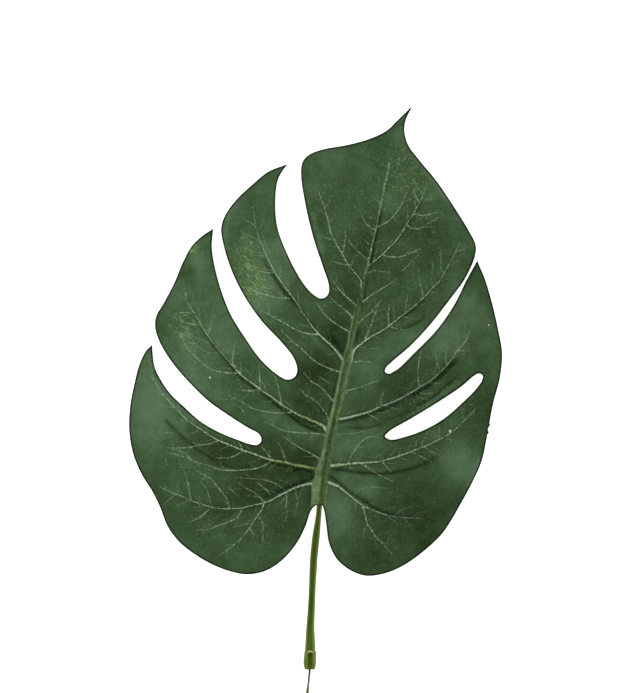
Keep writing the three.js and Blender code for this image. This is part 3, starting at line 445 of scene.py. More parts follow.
BRANCH_VEINS = [
    # Lowest left lobe: width at the root, strength, points
    (0.75, 0.75, [
        (-28, 0.9), (-29, -2), (-31, -5), (-35, -11), (-37.5, -14.5), (-42.5, -19.5), (-50, -25),
    ]),
    (0.5, 0.5, [(-31, -5), (-30, -7), (-28.7, -9), (-28.5, -13), (-28.7, -20)]),
    (0.5, 0.5, [(-35, -11.5), (-34, -13.5), (-33, -15)]),
    (0.5, 0.45, [(-33.5, -9), (-36, -9.2), (-39, -10), (-43, -11)]),
    (0.6, 0.65, [
        (-38.5, -1.5), (-40, -4), (-41.5, -6), (-44, -7.8), (-50, -10), (-57, -12.5), (-63, -12.6),
    ]),
    (0.55, 0.6, [(-54.5, -1.5), (-57, -3.5), (-60, -6), (-65, -8.6)]),
    (0.5, 0.5, [(-17, 6.3), (-16.5, 3), (-17, 0), (-16.3, -2.5), (-18.5, -10.5)]),
    (0.5, 0.35, [(-11.8, 8.5), (-12, 5), (-11.2, 2), (-12, -2), (-13, -6)]),
    (0.6, 0.65, [
        (-45.5, -1.5), (-46.5, 3), (-48, 5), (-50, 7.6), (-55.5, 13.8), (-61, 16.5), (-63, 18.5),
    ]),
    (0.5, 0.5, [(-54.3, -1), (-54.7, 1.5), (-55.5, 4), (-56.5, 7.5), (-59.5, 12)]),
    (0.5, 0.5, [(-64.5, 2.4), (-65.5, 8), (-66.5, 12), (-67, 14.5), (-70, 20.5)]),
    (0.4, 0.3, [(-70.5, 5), (-71.5, 9), (-71, 13)]),
    (0.4, 0.3, [(-60, 0.5), (-60.5, 4.5)]),
    (0.55, 0.55, [(-28, 1.5), (-30.5, 4.5), (-33, 6.5), (-36, 8), (-40.5, 11)]),
    (0.55, 0.55, [(-24.5, 4.5), (-27, 8), (-29.5, 10), (-31.5, 11.5)]),
    (0.55, 0.5, [(-17.5, 7.5), (-19.5, 9.3), (-22, 10.8), (-28, 12.8), (-34, 13.3), (-42, 13.8)]),
    (0.4, 0.35, [(-41, 5), (-43, 6.5), (-46.5, 9.5)]),
    (0.7, 0.7, [
        (-23.5, 22.6), (-27, 20.4), (-30, 18.9), (-35, 17.9), (-43, 17.4), (-50, 17.8), (-56, 19.8),
        (-62, 21.6), (-68, 24), (-76, 26),
    ]),
    (0.55, 0.6, [(-39, 27), (-42, 25), (-45, 23.8), (-52, 23.5)]),
    (0.6, 0.6, [(-51, 32.3), (-55, 30.6), (-60, 30), (-66, 28.7), (-76, 28.5)]),
    (0.4, 0.3, [(-65, 23.5), (-69, 26.5), (-73, 28), (-83, 29.5)]),
    (0.4, 0.3, [(-75, 36), (-79, 36.3), (-82, 36.8)]),
    (0.5, 0.4, [(-11.5, 19.3), (-13.5, 18.3), (-16.5, 17)]),
    (0.55, 0.6, [(-17, 21.7), (-18, 25), (-19.8, 29.5), (-21, 31)]),
    (0.55, 0.55, [(-25, 24), (-27, 27), (-30, 30.2)]),
    (0.5, 0.5, [(-39, 28), (-40, 30.5), (-42.5, 32.8)]),
    (0.7, 0.8, [(0.6, 21.5), (-0.5, 23.3), (-4.7, 26), (-8, 27.6), (-11.8, 29.9), (-18, 34.2)]),
    (0.6, 0.65, [(2.3, 35.2), (-1.6, 35.8), (-11, 36.4), (-17.5, 37.2), (-27, 41.5)]),
    # Middle left lobe
    (0.7, 0.75, [(-19.5, 51), (-20, 55), (-21, 60), (-22.8, 64.8)]),
    (0.5, 0.55, [(-30, 58.5), (-30, 62), (-30.2, 66), (-30.3, 70.5)]),
    (0.7, 0.7, [(-40, 65.8), (-42.2, 68.8), (-43.8, 72), (-43.2, 76), (-42.3, 81)]),
    (0.5, 0.5, [(-31, 58), (-35, 57.3), (-41.5, 57.8)]),
    (0.65, 0.7, [(-40, 65.8), (-45, 66), (-50, 66.6), (-55, 68.2), (-61, 73), (-65, 77), (-70, 84)]),
    (0.45, 0.45, [(-50, 76), (-53, 76.2), (-57, 76.6), (-60, 78.5), (-66, 84)]),
    (0.65, 0.65, [(-13, 46.6), (-18, 46.2), (-23, 46.3), (-28, 47), (-34, 48.5), (-38, 51), (-46, 55)]),
    (0.4, 0.35, [(-38, 46.5), (-40, 49), (-44.5, 50.7)]),
    (0.4, 0.3, [(-56, 85), (-54.5, 89.5), (-53, 95)]),
    (0.55, 0.55, [(-60, 90.3), (-65, 90.6), (-70, 92.4), (-75, 94.6)]),
    (0.5, 0.45, [(-65, 96.2), (-68, 96.2), (-72.5, 95.8)]),
    # Small veins from the midrib to the left
    (0.65, 0.7, [(4.2, 42.8), (3, 46), (1, 48.5), (-1, 51), (-4, 53.5), (-7, 54.8), (-9, 57.5)]),
    (0.65, 0.7, [(6.4, 52), (4.5, 54.6), (2, 57.4), (-1, 60), (-4, 61.6), (-8, 66)]),
    (0.7, 0.75, [
        (9.8, 66.6), (7, 67.5), (3, 69), (-1, 71), (-5, 74), (-9, 78), (-13, 81.2), (-19, 87),
    ]),
    (0.45, 0.45, [(4.5, 61), (1, 63.3), (-0.5, 64.5)]),
    # Upper left lobe
    (0.75, 0.8, [(-1, 85.2), (-5, 85.5), (-9, 86.5), (-13, 88.1), (-17, 90.5), (-22, 93.2), (-29, 97)]),
    (0.6, 0.6, [(-15.5, 103.5), (-19, 103.3), (-23, 103.8), (-27, 105), (-32, 106.5), (-38, 109)]),
    (0.8, 0.5, [(-23.5, 116), (-27, 116.2), (-31.5, 117.4)]),
    (0.4, 0.35, [(-33, 140), (-36, 142), (-40, 144)]),
    # Top lobe, left of the midrib
    (0.7, 0.8, [(15, 86.3), (13.8, 87), (10.1, 89.2), (5.6, 92.2), (1.6, 96), (-1.4, 100.5)]),
    (0.6, 0.7, [(16.6, 93.1), (15.6, 94.5), (12.3, 97.6), (7.9, 101), (5, 104)]),
    (0.7, 0.75, [(18.6, 99), (16, 101.5), (12, 105), (8.6, 109), (5.5, 113.2)]),
    (0.55, 0.6, [(11, 125.5), (12, 129), (12.5, 133), (12.9, 136.5)]),
    (0.55, 0.6, [(14.5, 119.8), (11, 120.3), (6, 121.8)]),
    (0.4, 0.35, [(7, 132.3), (4, 133.2), (1, 134.8)]),
    (0.65, 0.7, [(24, 122.3), (22, 124), (19, 126.5), (17, 128.5), (15.3, 130.7), (13.8, 134)]),
    (0.6, 0.6, [(27.6, 137), (26, 138), (23.5, 140), (22, 142), (20.6, 145)]),
    (0.45, 0.4, [(25.5, 129.3), (23, 131.5), (20.5, 133.8)]),
    (0.45, 0.35, [(30.2, 150.5), (28, 152.6), (26, 155.2)]),
    # Small veins from the midrib to the right
    (0.45, 0.3, [(8, 35.3), (14, 35.6), (22, 37), (28, 39)]),
    (0.9, 0.7, [(11.8, 55.8), (13, 57), (16, 57.8), (20, 59), (24, 60.5), (29, 62.3)]),
    (0.9, 0.6, [(15.6, 71.2), (19, 71.8), (22, 71.7), (26, 71.4)]),
    (0.55, 0.55, [(19.2, 90.8), (20.2, 91.9), (22.5, 94), (25, 96), (28, 99.2), (31, 103.2)]),
    (0.7, 0.7, [(21.3, 101.6), (25, 104.3), (30, 107.6), (35, 110.6), (38, 113)]),
    (0.7, 0.65, [(24.2, 115.9), (27, 117), (30, 116.6), (33.5, 116.3)]),
    # Right basal lobe
    (0.8, 0.75, [
        (21.5, -0.6), (22.4, -4.5), (23.8, -9.5), (26, -13), (28, -16), (30, -17.7), (35.5, -24),
    ]),
    (0.4, 0.3, [(24, -9.5), (22.5, -12), (21.5, -15)]),
    (0.45, 0.3, [(17, 5.5), (20, 7.6), (24, 9), (30, 8.8), (35, 8.4)]),
    # Branches of the lower right veins
    (0.6, 0.6, [(14, 21), (15.3, 24), (17, 27), (19, 30), (22, 33), (26, 34.6), (30, 35.6)]),
    (0.45, 0.45, [(30, 22.5), (31, 25.5)]),
    (0.45, 0.45, [(39.5, 25), (40.3, 28.5)]),
    (0.45, 0.45, [(47.5, 27.8), (48.3, 32.5)]),
    (0.4, 0.35, [(59.5, 33.5), (59.8, 41)]),
    (0.6, 0.6, [(21, 20.5), (24, 18.6), (27, 16.7), (30, 15), (35, 12.6)]),
    (0.55, 0.6, [(31.3, 21.5), (33.5, 19), (35.3, 17)]),
    (0.5, 0.5, [(46.5, 26), (50, 24.5), (56, 21.6)]),
    (0.5, 0.45, [(52.5, 29), (54.5, 27.3), (59.5, 25)]),
    (0.55, 0.6, [(49.4, 59.5), (49, 63), (48.8, 67), (49.5, 72), (51, 80)]),
    (0.45, 0.45, [(30, 49.8), (31, 54), (31.6, 57.5)]),
    (0.5, 0.5, [(60, 67), (58.5, 71), (57.5, 76)]),
    (0.5, 0.5, [(69.5, 77.2), (75, 77)]),
    (0.45, 0.4, [(48, 54.5), (51, 53.4), (54, 53)]),
    (0.45, 0.4, [(23.5, 46), (26, 44.6), (29, 43)]),
    # Branches of the upper right veins
    (0.65, 0.6, [(22.5, 83), (24.5, 87.5), (26.5, 93), (29.3, 99.5)]),
    (0.55, 0.6, [(34.3, 90), (34, 95), (34.8, 100.3)]),
    (0.55, 0.6, [(42.3, 96.7), (43, 100), (43.4, 104.3)]),
    (0.5, 0.5, [(51.5, 104.8), (50.5, 108), (49.7, 113.5)]),
    (0.5, 0.45, [(35.5, 89), (39, 87.9), (43, 87.5)]),
    (0.6, 0.6, [(31, 125), (34, 124.1), (38, 123.8), (41, 124.2), (50, 128)]),
    (0.5, 0.5, [(47, 145.5), (51, 144.6), (58, 146)]),
    (0.55, 0.55, [(43, 140), (46, 138.2), (50, 138.2), (53, 140), (59.5, 143.7)]),
    (0.45, 0.45, [(49.5, 151), (47.5, 155), (46.5, 159)]),
    (0.45, 0.4, [(51, 153.5), (54, 152.5), (58, 153.5)]),
    (0.65, 0.65, [(28.6, 138.6), (32, 140.4), (35, 142.5), (37.5, 145.5), (40, 149), (43, 155.5)]),
    (0.4, 0.35, [(41, 117), (43, 119), (46, 121.6), (48.5, 124.5)]),
    (0.4, 0.3, [(60.3, 118), (60.2, 124), (61, 129), (62.6, 134)]),
    (0.4, 0.3, [(56, 116), (56.2, 123)]),
    # The midrib's upper run, where it is no wider than a branch
    (1.0, 0.75, [
        (21.9, 113.5), (22.9, 116.5), (23.8, 119.5), (24.2, 122.3), (25, 124.5), (25.5, 127.5),
        (26.3, 130.8), (27.1, 133.9), (27.7, 137), (28.6, 140.3), (29.4, 145), (30.2, 149),
        (31.2, 152.5), (32.5, 161.2), (34.8, 170), (36, 175),
    ]),
]
print(len(SIDE_VEINS), "side veins and", len(BRANCH_VEINS), "branches")

# %% [markdown]
# ## Folds and pinholes
#
# The press also left sharp folds, mostly beside the main veins, where the cloth drops away and
# lies in shade. Each is a line with a half width and a strength, and the material darkens it
# with painted shade, which in part also stands for dark print there. A few pinholes of bare
# cloth are where needles held the print.

# %% Folds and pinholes, listed
FOLDS = [
    # Half width, strength, points
    (0.9, 0.85, [
        (6, 18), (10, 17.8), (16, 16.8), (22, 16.2), (30, 15.8), (38, 16.5), (44, 17.8), (50, 19.8),
        (55, 22), (60, 25.5), (65, 30),
    ]),
    (0.8, 1.0, [
        (-14, 17.6), (-11, 17.9), (-8, 17.7), (-5.5, 17.0), (-3.7, 16), (-3, 14.6), (-3.6, 13.2),
    ]),
    (0.9, 1.0, [(-3.2, 15), (-4.4, 13.2), (-6.5, 12.4), (-9, 12.1), (-12, 11.4)]),
    (1.9, 0.6, [(-4, 14.9), (-7, 14.9), (-10, 14.8), (-12, 14.7)]),
    (1.3, 0.85, [(-6, 11.6), (-10, 10.9), (-14, 9.6), (-18, 8), (-22, 6.2), (-26, 4.6), (-32, 2.6)]),
    (0.5, 0.85, [(-12, 18.4), (-16, 19), (-20, 20.1), (-24, 21.2), (-32, 23.2)]),
    (0.9, 0.6, [
        (-78, 43), (-72, 37), (-66, 31.5), (-60, 27), (-54, 23.2), (-48, 20.3), (-41, 18.7), (-32, 19),
    ]),
    (0.6, 1.0, [
        (-0.5, 36.8), (-5, 38.4), (-10, 40.9), (-13, 43.3), (-16.5, 46), (-22, 50.2), (-28, 55.2),
        (-33, 59.5),
    ]),
    (1.7, 0.5, [(0, 38.4), (-4, 40), (-8, 42.1), (-14, 45.4), (-20, 49.4), (-26, 54)]),
    (0.7, 0.85, [
        (-31, 56.8), (-37, 61.8), (-41, 65.6), (-45, 70.2), (-50, 76), (-55, 82), (-58.5, 87.5),
        (-63, 94),
    ]),
    (0.7, 0.85, [(9, 41.5), (16, 42.8), (22, 44.2), (28, 46.3), (33, 48.4), (38, 50.6), (46, 54)]),
    (1.1, 0.85, [(46, 54.8), (53, 58.8), (57, 62), (62, 66.3), (67, 71.3), (72, 77)]),
    (0.9, 0.7, [(48, 49.5), (56, 53.8), (61, 57.8), (66, 62), (72, 67)]),
    (0.8, 0.6, [(13, 39), (20, 38.5), (25, 39), (30, 40.3), (36, 42)]),
    (0.7, 0.5, [(31, 42.5), (40, 44.8), (46, 47.5), (52, 50)]),
    (0.7, 0.6, [(36, 87), (43, 88.5), (48, 91), (54, 95.5)]),
    (0.8, 0.6, [(39, 92.8), (45, 96.8), (49, 99.8), (54, 104.5)]),
    (1.2, 0.75, [(18, 80), (18.3, 83), (19, 86), (20.3, 89)]),
    (0.9, 0.85, [
        (-1, 87), (-6, 92.4), (-9, 96.5), (-12, 100.5), (-16, 104.5), (-19.5, 109), (-23.5, 115),
        (-26.5, 120), (-31.5, 129.5),
    ]),
    (2.0, 0.85, [(11.5, 76), (9.5, 79), (6.5, 82.5), (3, 86)]),
    (1.2, 0.6, [(11.8, 78), (12.6, 84), (13, 87)]),
    (0.65, 1.0, [
        (25.1, 117.5), (25.5, 121), (26.1, 125), (26.9, 129.5), (28, 134.5), (29.2, 139.5), (30.3, 145),
        (31.4, 150), (32.1, 154),
    ]),
    (0.45, 0.75, [(21.7, 101.5), (22.2, 105.5), (22.9, 109.5), (23.7, 112.8), (24.4, 115.5)]),
    (0.4, 0.7, [(4.1, 44.5), (5.3, 49.5), (6.3, 54), (7.3, 59), (8.4, 63.8), (9.2, 67.5), (9.7, 70)]),
    (0.4, 0.9, [(-4.85, 9.9), (-4.85, 7), (-4.8, 4), (-4.75, 1.5), (-4.6, 0.2)]),
    (0.9, 0.85, [
        (4, 15.3), (8, 12.4), (12, 9), (16, 5.7), (20, 3.4), (24, 0.9), (28, -1.7), (32, -3.7),
        (38, -5.5), (45, -6.4), (53, -6.5),
    ]),
    (1.0, 0.6, [(3.5, 44.5), (1.5, 46.8), (-1, 49)]),
    (0.8, 0.45, [(6.5, 55), (4.5, 57.5), (2, 60)]),
]
# x, y, reach
PINHOLES = [(65, 37, 0.55), (84.5, 90, 0.36), (-55, 63.7, 0.4)]
print(len(FOLDS), "folds and", len(PINHOLES), "pinholes")

# %% [markdown]
# ## The finest veins
#
# Between the drawn veins runs a faint net that nobody draws one by one. A seeded rule grows it:
# every so often a thin vein leaves a side vein or a branch at a slant, bends a little, and stops
# where it would leave the cloth.

# %% Fine veins grown from the drawn ones
FINE_SPACING = 4.2
FINE_STEP = 1.6
FINE_WIDTH = 0.42
FINE_SLANT = (32, 62)
FINE_BEND = (-6, 12)
FINE_STRENGTH = (0.12, 0.34)
FEWEST_STEPS, MOST_STEPS_OF_MAIN, MOST_STEPS = 3, 7, 4
rng = random.Random(12)


def inside_loop(points, loop):
    """Which points lie inside a closed loop, by counting the edges to their right."""
    ax, ay = loop[:, 0], loop[:, 1]
    bx, by = np.roll(ax, -1), np.roll(ay, -1)
    height = np.where(by == ay, 1e-9, by - ay)
    inside = []
    for block in in_blocks(points):
        x, y = block[:, :1], block[:, 1:2]
        spans = (ay > y) != (by > y)
        inside.append((spans & (x < (bx - ax) * (y - ay) / height + ax)).sum(1) % 2)
    return np.concatenate(inside).astype(bool)


def on_cloth(points):
    """Which points lie on the cloth: inside its outline and outside its hole."""
    inside = inside_loop(points, edge_loops[0])
    for hole in edge_loops[1:]:
        inside &= ~inside_loop(points, hole)
    return inside


def grow_fine_veins(parents):
    """Thin veins that leave their parents on alternate sides, cut off where the cloth ends."""
    grown = []
    for width, strength, points in parents:
        line = smooth_line(points, FINE_SPACING)
        for k in range(1, len(line) - 1):
            ahead = line[k + 1] - line[k]
            side = 1 if (k % 2) else -1
            heading = math.atan2(ahead[1], ahead[0]) + side * math.radians(rng.uniform(*FINE_SLANT))
            vein = [line[k]]
            for _ in range(rng.randint(FEWEST_STEPS, MOST_STEPS_OF_MAIN if width > 1 else MOST_STEPS)):
                heading -= side * math.radians(rng.uniform(*FINE_BEND))
                vein.append(vein[-1] + FINE_STEP * np.array((math.cos(heading), math.sin(heading))))
            vein = np.array(vein)
            keep = on_cloth(vein)
            count = len(vein) if keep.all() else int(keep.argmin())
            if count >= FEWEST_STEPS:
                grown.append((FINE_WIDTH, rng.uniform(*FINE_STRENGTH) * strength, vein[:count]))
    return grown


fine_veins = grow_fine_veins(SIDE_VEINS + BRANCH_VEINS)
print(len(fine_veins), "fine veins")

# %% [markdown]
# ## Points and triangles of the cloth
#
# The cloth is one closed mesh. Its face needs detail beside the veins and along the edge, and
# much less between them, so its points are rows along those lines plus an even fill. They are
# joined by a triangulation that avoids slivers and keeps the cut edge.

# %% Triangulate the face
FACE_FILL = 1.25
FILL_NUDGE = 0.16
LEAST_FILL_GAP = 0.8
LEAST_DETAIL_GAP = 0.36
EDGE_ROWS = (0.6, 1.15)
VEIN_FOOT = 1.5
WIDE_VEIN = 0.9
MIDRIB_SHARES = (0, 0.22, 0.45, 0.7, 0.9, 1.08)
HOLE_CIRCLES = (0.45, 0.95)


def fill_points(step):
    """Points of an even triangular grid, nudged a little so that no long rows show."""
    low, high = edge_loops[0].min(0), edge_loops[0].max(0)
    rows = np.arange(low[1], high[1], step * math.sqrt(0.75))
    columns = np.arange(low[0], high[0], step)
    x, y = np.meshgrid(columns, rows)
    x = x + (np.arange(len(rows)) % 2)[:, None] * step / 2
    nudge = np.random.default_rng(5).uniform(-FILL_NUDGE, FILL_NUDGE, (2, *x.shape)) * step
    return np.column_stack(((x + nudge[0]).ravel(), (y + nudge[1]).ravel()))


def square_to(line):
    """Directions of length 1 that are square to a line, at each of its points."""
    along = np.gradient(line, axis=0)
    across = np.column_stack((-along[:, 1], along[:, 0]))
    return across / np.linalg.norm(across, axis=1)[:, None]


def edge_rows(distance):
    """Rows of points on both sides of the cut edge. Those that miss the cloth are dropped later."""
    rows = []
    for loop in edge_loops:
        along = np.roll(loop, -1, axis=0) - np.roll(loop, 1, axis=0)
        inward = np.column_stack((-along[:, 1], along[:, 0]))
        inward /= np.linalg.norm(inward, axis=1)[:, None]
        rows.append(loop + inward * distance)
        rows.append(loop - inward * distance)
    return np.concatenate(rows)


def vein_half_width(width, along):
    """Half the width of a vein at a share of its length: it narrows quickly, then slowly."""
    return np.maximum(0.17, width / 2 * (0.38 + 0.62 * np.exp(-along / 0.22)))


def vein_rows(width, line):
    """Points on a vein: its middle and feet and, where it is wide, its shoulders and their shade."""
    across = square_to(line)
    half = vein_half_width(width, np.linspace(0, 1, len(line)))[:, None]
    foot = np.maximum(0.42, VEIN_FOOT * half)
    offsets = [foot, foot + 0.45, 0.6 * half] if width > WIDE_VEIN else [foot]
    return np.concatenate([line, *[line + across * off * side for off in offsets for side in (1, -1)]])


def fold_rows(half_width, points):
    """Points along a fold: its middle and two rows on each flank."""
    line = smooth_line(points, 0.9)
    across = square_to(line) * half_width
    return np.concatenate([line + across * share for share in (0, 0.8, -0.8, 1.6, -1.6)])


def hole_rows(x, y):
    """Points of a pinhole: its middle and two circles of six."""
    angle = 2 * np.pi * np.arange(6) / 6
    circle = np.column_stack((np.cos(angle), np.sin(angle)))
    return np.concatenate(([(x, y)], *[(x, y) + size * circle for size in HOLE_CIRCLES]))


def thin_out(points, least, taken):
    """Drops each point that lies too near an earlier one, or near one of the taken points."""
    cells = {}
    kept = []
    for index, (x, y) in enumerate(np.concatenate((taken, points))):
        cell = (int(x // least), int(y // least))
        around = [cells.get((cell[0] + i, cell[1] + j), ()) for i in (-1, 0, 1) for j in (-1, 0, 1)]
        fixed = index < len(taken)
        if fixed or all((x - u) ** 2 + (y - v) ** 2 >= least**2 for group in around for u, v in group):
            cells.setdefault(cell, []).append((x, y))
            if not fixed:
                kept.append((x, y))
    return np.array(kept)


def triangulate(inner):
    """Triangles of the edge loops and the inner points, without those outside the cloth."""
    rim = np.concatenate(edge_loops)
    points = np.concatenate((rim, inner))
    edges = []
    first = 0
    for loop in edge_loops:
        count = len(loop)
        edges += [(first + i, first + (i + 1) % count) for i in range(count)]
        first += count
    made, _, faces, *_ = delaunay_2d_cdt(points.tolist(), edges, [], 0, 1e-5)
    made = np.array([tuple(p) for p in made])
    faces = np.array(faces)
    middles = made[faces].mean(1)
    return made, faces[on_cloth(middles)]


midrib_line = smooth_line(MIDRIB, 0.8)
half_widths = np.interp(midrib_line[:, 1], *zip(*MIDRIB_HALF_WIDTHS))


def midrib_rows():
    """Points along the midrib, on its groove, its ridges, its sides and just beside it."""
    across = square_to(midrib_line)
    half = half_widths[:, None]
    offsets = [half * share for share in MIDRIB_SHARES] + [half + 0.4]
    return np.concatenate([midrib_line + across * off * side for off in offsets for side in (1, -1)])


def with_lines(veins, step):
    """Veins with smooth lines in place of their few points."""
    return [(width, strength, smooth_line(points, step)) for width, strength, points in veins]


drawn_veins = with_lines(SIDE_VEINS, 0.75) + with_lines(BRANCH_VEINS, 0.8)
painted_veins = drawn_veins + with_lines(fine_veins, 0.9)
rim_points = np.concatenate(edge_loops)
wanted = np.concatenate((
    *[edge_rows(distance) for distance in EDGE_ROWS],
    midrib_rows(),
    *[hole_rows(x, y) for x, y, _ in PINHOLES],
    *[vein_rows(width, line) for width, _, line in painted_veins],
    *[fold_rows(half_width, points) for half_width, _, points in FOLDS],
))
wanted = wanted[on_cloth(wanted)]
detail = thin_out(wanted, LEAST_DETAIL_GAP, rim_points)
fill = fill_points(FACE_FILL)
fill = thin_out(fill[on_cloth(fill)], LEAST_FILL_GAP, np.concatenate((rim_points, detail)))
face_points, face_triangles = triangulate(np.concatenate((detail, fill)))
print("face:", len(face_points), "points,", len(face_triangles), "triangles")

# %% [markdown]
# ## Relief
#
# The real cloth was pressed hot between two moulds, which left three kinds of relief: the midrib
# as two soft ridges with a groove between them, each side vein as a thin ridge, and beside the
# main veins a step, where the cloth drops on the side of the leaf's base and climbs again slowly.
# The folds come on top. Each is a function of the distance to a line, so it can be made for any
# point, and its value also tells the material where to put painted shade and pale print.

# %% Ridges, steps and folds
MIDRIB_RIDGE = 0.4
MIDRIB_GROOVE = 0.22
VEIN_RIDGE = 0.4
VEIN_FADE = 0.62
FOOT_PLACE, FOOT_REACH = 1.6, 0.33
FOLD_DEPTH = 0.5
STEP_DEPTH = 0.75
STEP_WIDTH = 2.2


def nearby(points, line, reach):
    """Numbers of the points in a line's bounding box, which is widened by the reach."""
    low, high = line.min(0) - reach, line.max(0) + reach
    return np.flatnonzero(((points > low) & (points < high)).all(1))


def soft_step(value):
    """0 below 0, 1 above 1, and eased at both ends between them."""
    value = np.clip(value, 0, 1)
    return value * value * (3 - 2 * value)


def vein_marks(points):
    """Paint and foot shade (0 to 1) and height in millimetres of all veins at the given points."""
    paint = np.zeros(len(points))
    shade = np.zeros(len(points))
    height = np.zeros(len(points))
    for number, (width, strength, line) in enumerate(painted_veins):
        found = nearby(points, line, 2 * width + 0.5)
        distance, along, _ = near_line(points[found], line)
        half_width = vein_half_width(width, along)
        shape = soft_step(VEIN_FOOT - distance / half_width) * strength * (1 - VEIN_FADE * along**2)
        paint[found] = np.maximum(paint[found], shape)
        if number < len(drawn_veins):
            ridge = VEIN_RIDGE * min(1, width) * shape
            height[found] = np.maximum(height[found], ridge)
        if number < len(SIDE_VEINS):
            foot = np.exp(-(((distance - FOOT_PLACE * half_width) / FOOT_REACH) ** 2)) * (1 - along)
            shade[found] = np.maximum(shade[found], foot)
    return paint, shade, height


def step_marks(points):
    """How deep the steps on the base side of the side veins are, from 0 to 1."""
    depth = np.zeros(len(points))
    for _, _, line in drawn_veins[: len(SIDE_VEINS)]:
        found = nearby(points, line, 6 * STEP_WIDTH)
        distance, along, side = near_line(points[found], line)
        base_side = side == np.sign(line[0, 0] - line[-1, 0])
        reach = distance / STEP_WIDTH
        fade = soft_step(along / 0.12) * soft_step((1 - along) / 0.25)
        made = np.where(base_side, reach * np.exp(1 - reach), 0) * fade
        depth[found] = np.maximum(depth[found], made)
    return depth


def midrib_marks(points):
    """Place across the midrib in half widths (negative at the left), y along it, and its height."""
    distance, along, side = near_line(points, midrib_line)
    y = np.interp(along, np.linspace(0, 1, len(midrib_line)), midrib_line[:, 1])
    half = np.interp(y, *zip(*MIDRIB_HALF_WIDTHS))
    place = -side * distance / half
    ridges = np.exp(-(((np.abs(place) - 0.6) / 0.28) ** 2))
    groove = np.exp(-((place / 0.3) ** 2))
    size = np.clip(half / 2.7, 0, 1)
    return place, y, size * (MIDRIB_RIDGE * ridges - MIDRIB_GROOVE * groove)


def midrib_paint(place, y):
    """How pale the midrib is (0 to 1): a bright left strip, a dark groove and a softer right strip."""
    left_end = np.interp(y, (4, 10, 15, 18, 25, 40, 55), (0.02, 0.1, -0.05, -0.08, -0.25, -0.25, -0.5))
    right_start = np.interp(y, (4, 10, 15, 25, 40, 55), (0.34, 0.44, 0.4, 0.3, 0.3, 0.45))
    groove = np.interp(y, (0, 40, 55, 75, 90, 98), (0.02, 0.04, 0.22, 0.2, 0.2, 0.12))
    bright = np.interp(y, (0, 11, 15, 28.5, 32, 35.5, 60, 70, 76, 82, 88, 93, 98, 106), (
        0.8, 0.8, 0.62, 0.7, 0.42, 0.72, 0.85, 0.75, 0.45, 0.85, 0.85, 0.65, 0.2, 0.25,
    ))
    right = np.interp(y, (0, 12, 20, 40, 55, 90, 98), (0.28, 0.35, 0.4, 0.45, 0.66, 0.5, 0.2))
    left = soft_step((left_end - place) / 0.2 + 0.5)
    right_share = soft_step((place - right_start) / 0.25 + 0.5)
    outer_line = 0.5 * np.exp(-(((place - 0.87) / 0.11) ** 2)) * soft_step((14 - y) / 6)
    return groove + (bright - groove) * left + (right - groove) * right_share + outer_line


def midrib_cover(place, y):
    """Where the midrib's paint covers the print, softer on the right."""
    soft = np.where(place < 0, 0.14, 0.3)
    cover = soft_step((1.0 - np.abs(place)) / soft + 0.5)
    return cover * np.interp(y, (108, 121), (1.0, 0.0))


def fold_marks(points):
    """How deep the folds are, from 0 to 1."""
    fold = np.zeros(len(points))
    for half_width, strength, knots in FOLDS:
        line = smooth_line(knots, 1.0)
        found = nearby(points, line, 4 * half_width)
        distance, along, _ = near_line(points[found], line)
        ends = soft_step(0.35 + along / 0.06) * soft_step((1 - along) / 0.3)
        fold[found] = np.maximum(fold[found], strength * ends * np.exp(-((distance / half_width) ** 2)))
    return fold


vein_paint, vein_shade, vein_height = vein_marks(face_points)
step_depth = step_marks(face_points)
midrib_place, midrib_y, midrib_height = midrib_marks(face_points)
fold_depth = fold_marks(face_points)
relief = vein_height + midrib_height - STEP_DEPTH * step_depth - FOLD_DEPTH * fold_depth
print("relief from", relief.min().round(2), "to", relief.max().round(2), "mm")
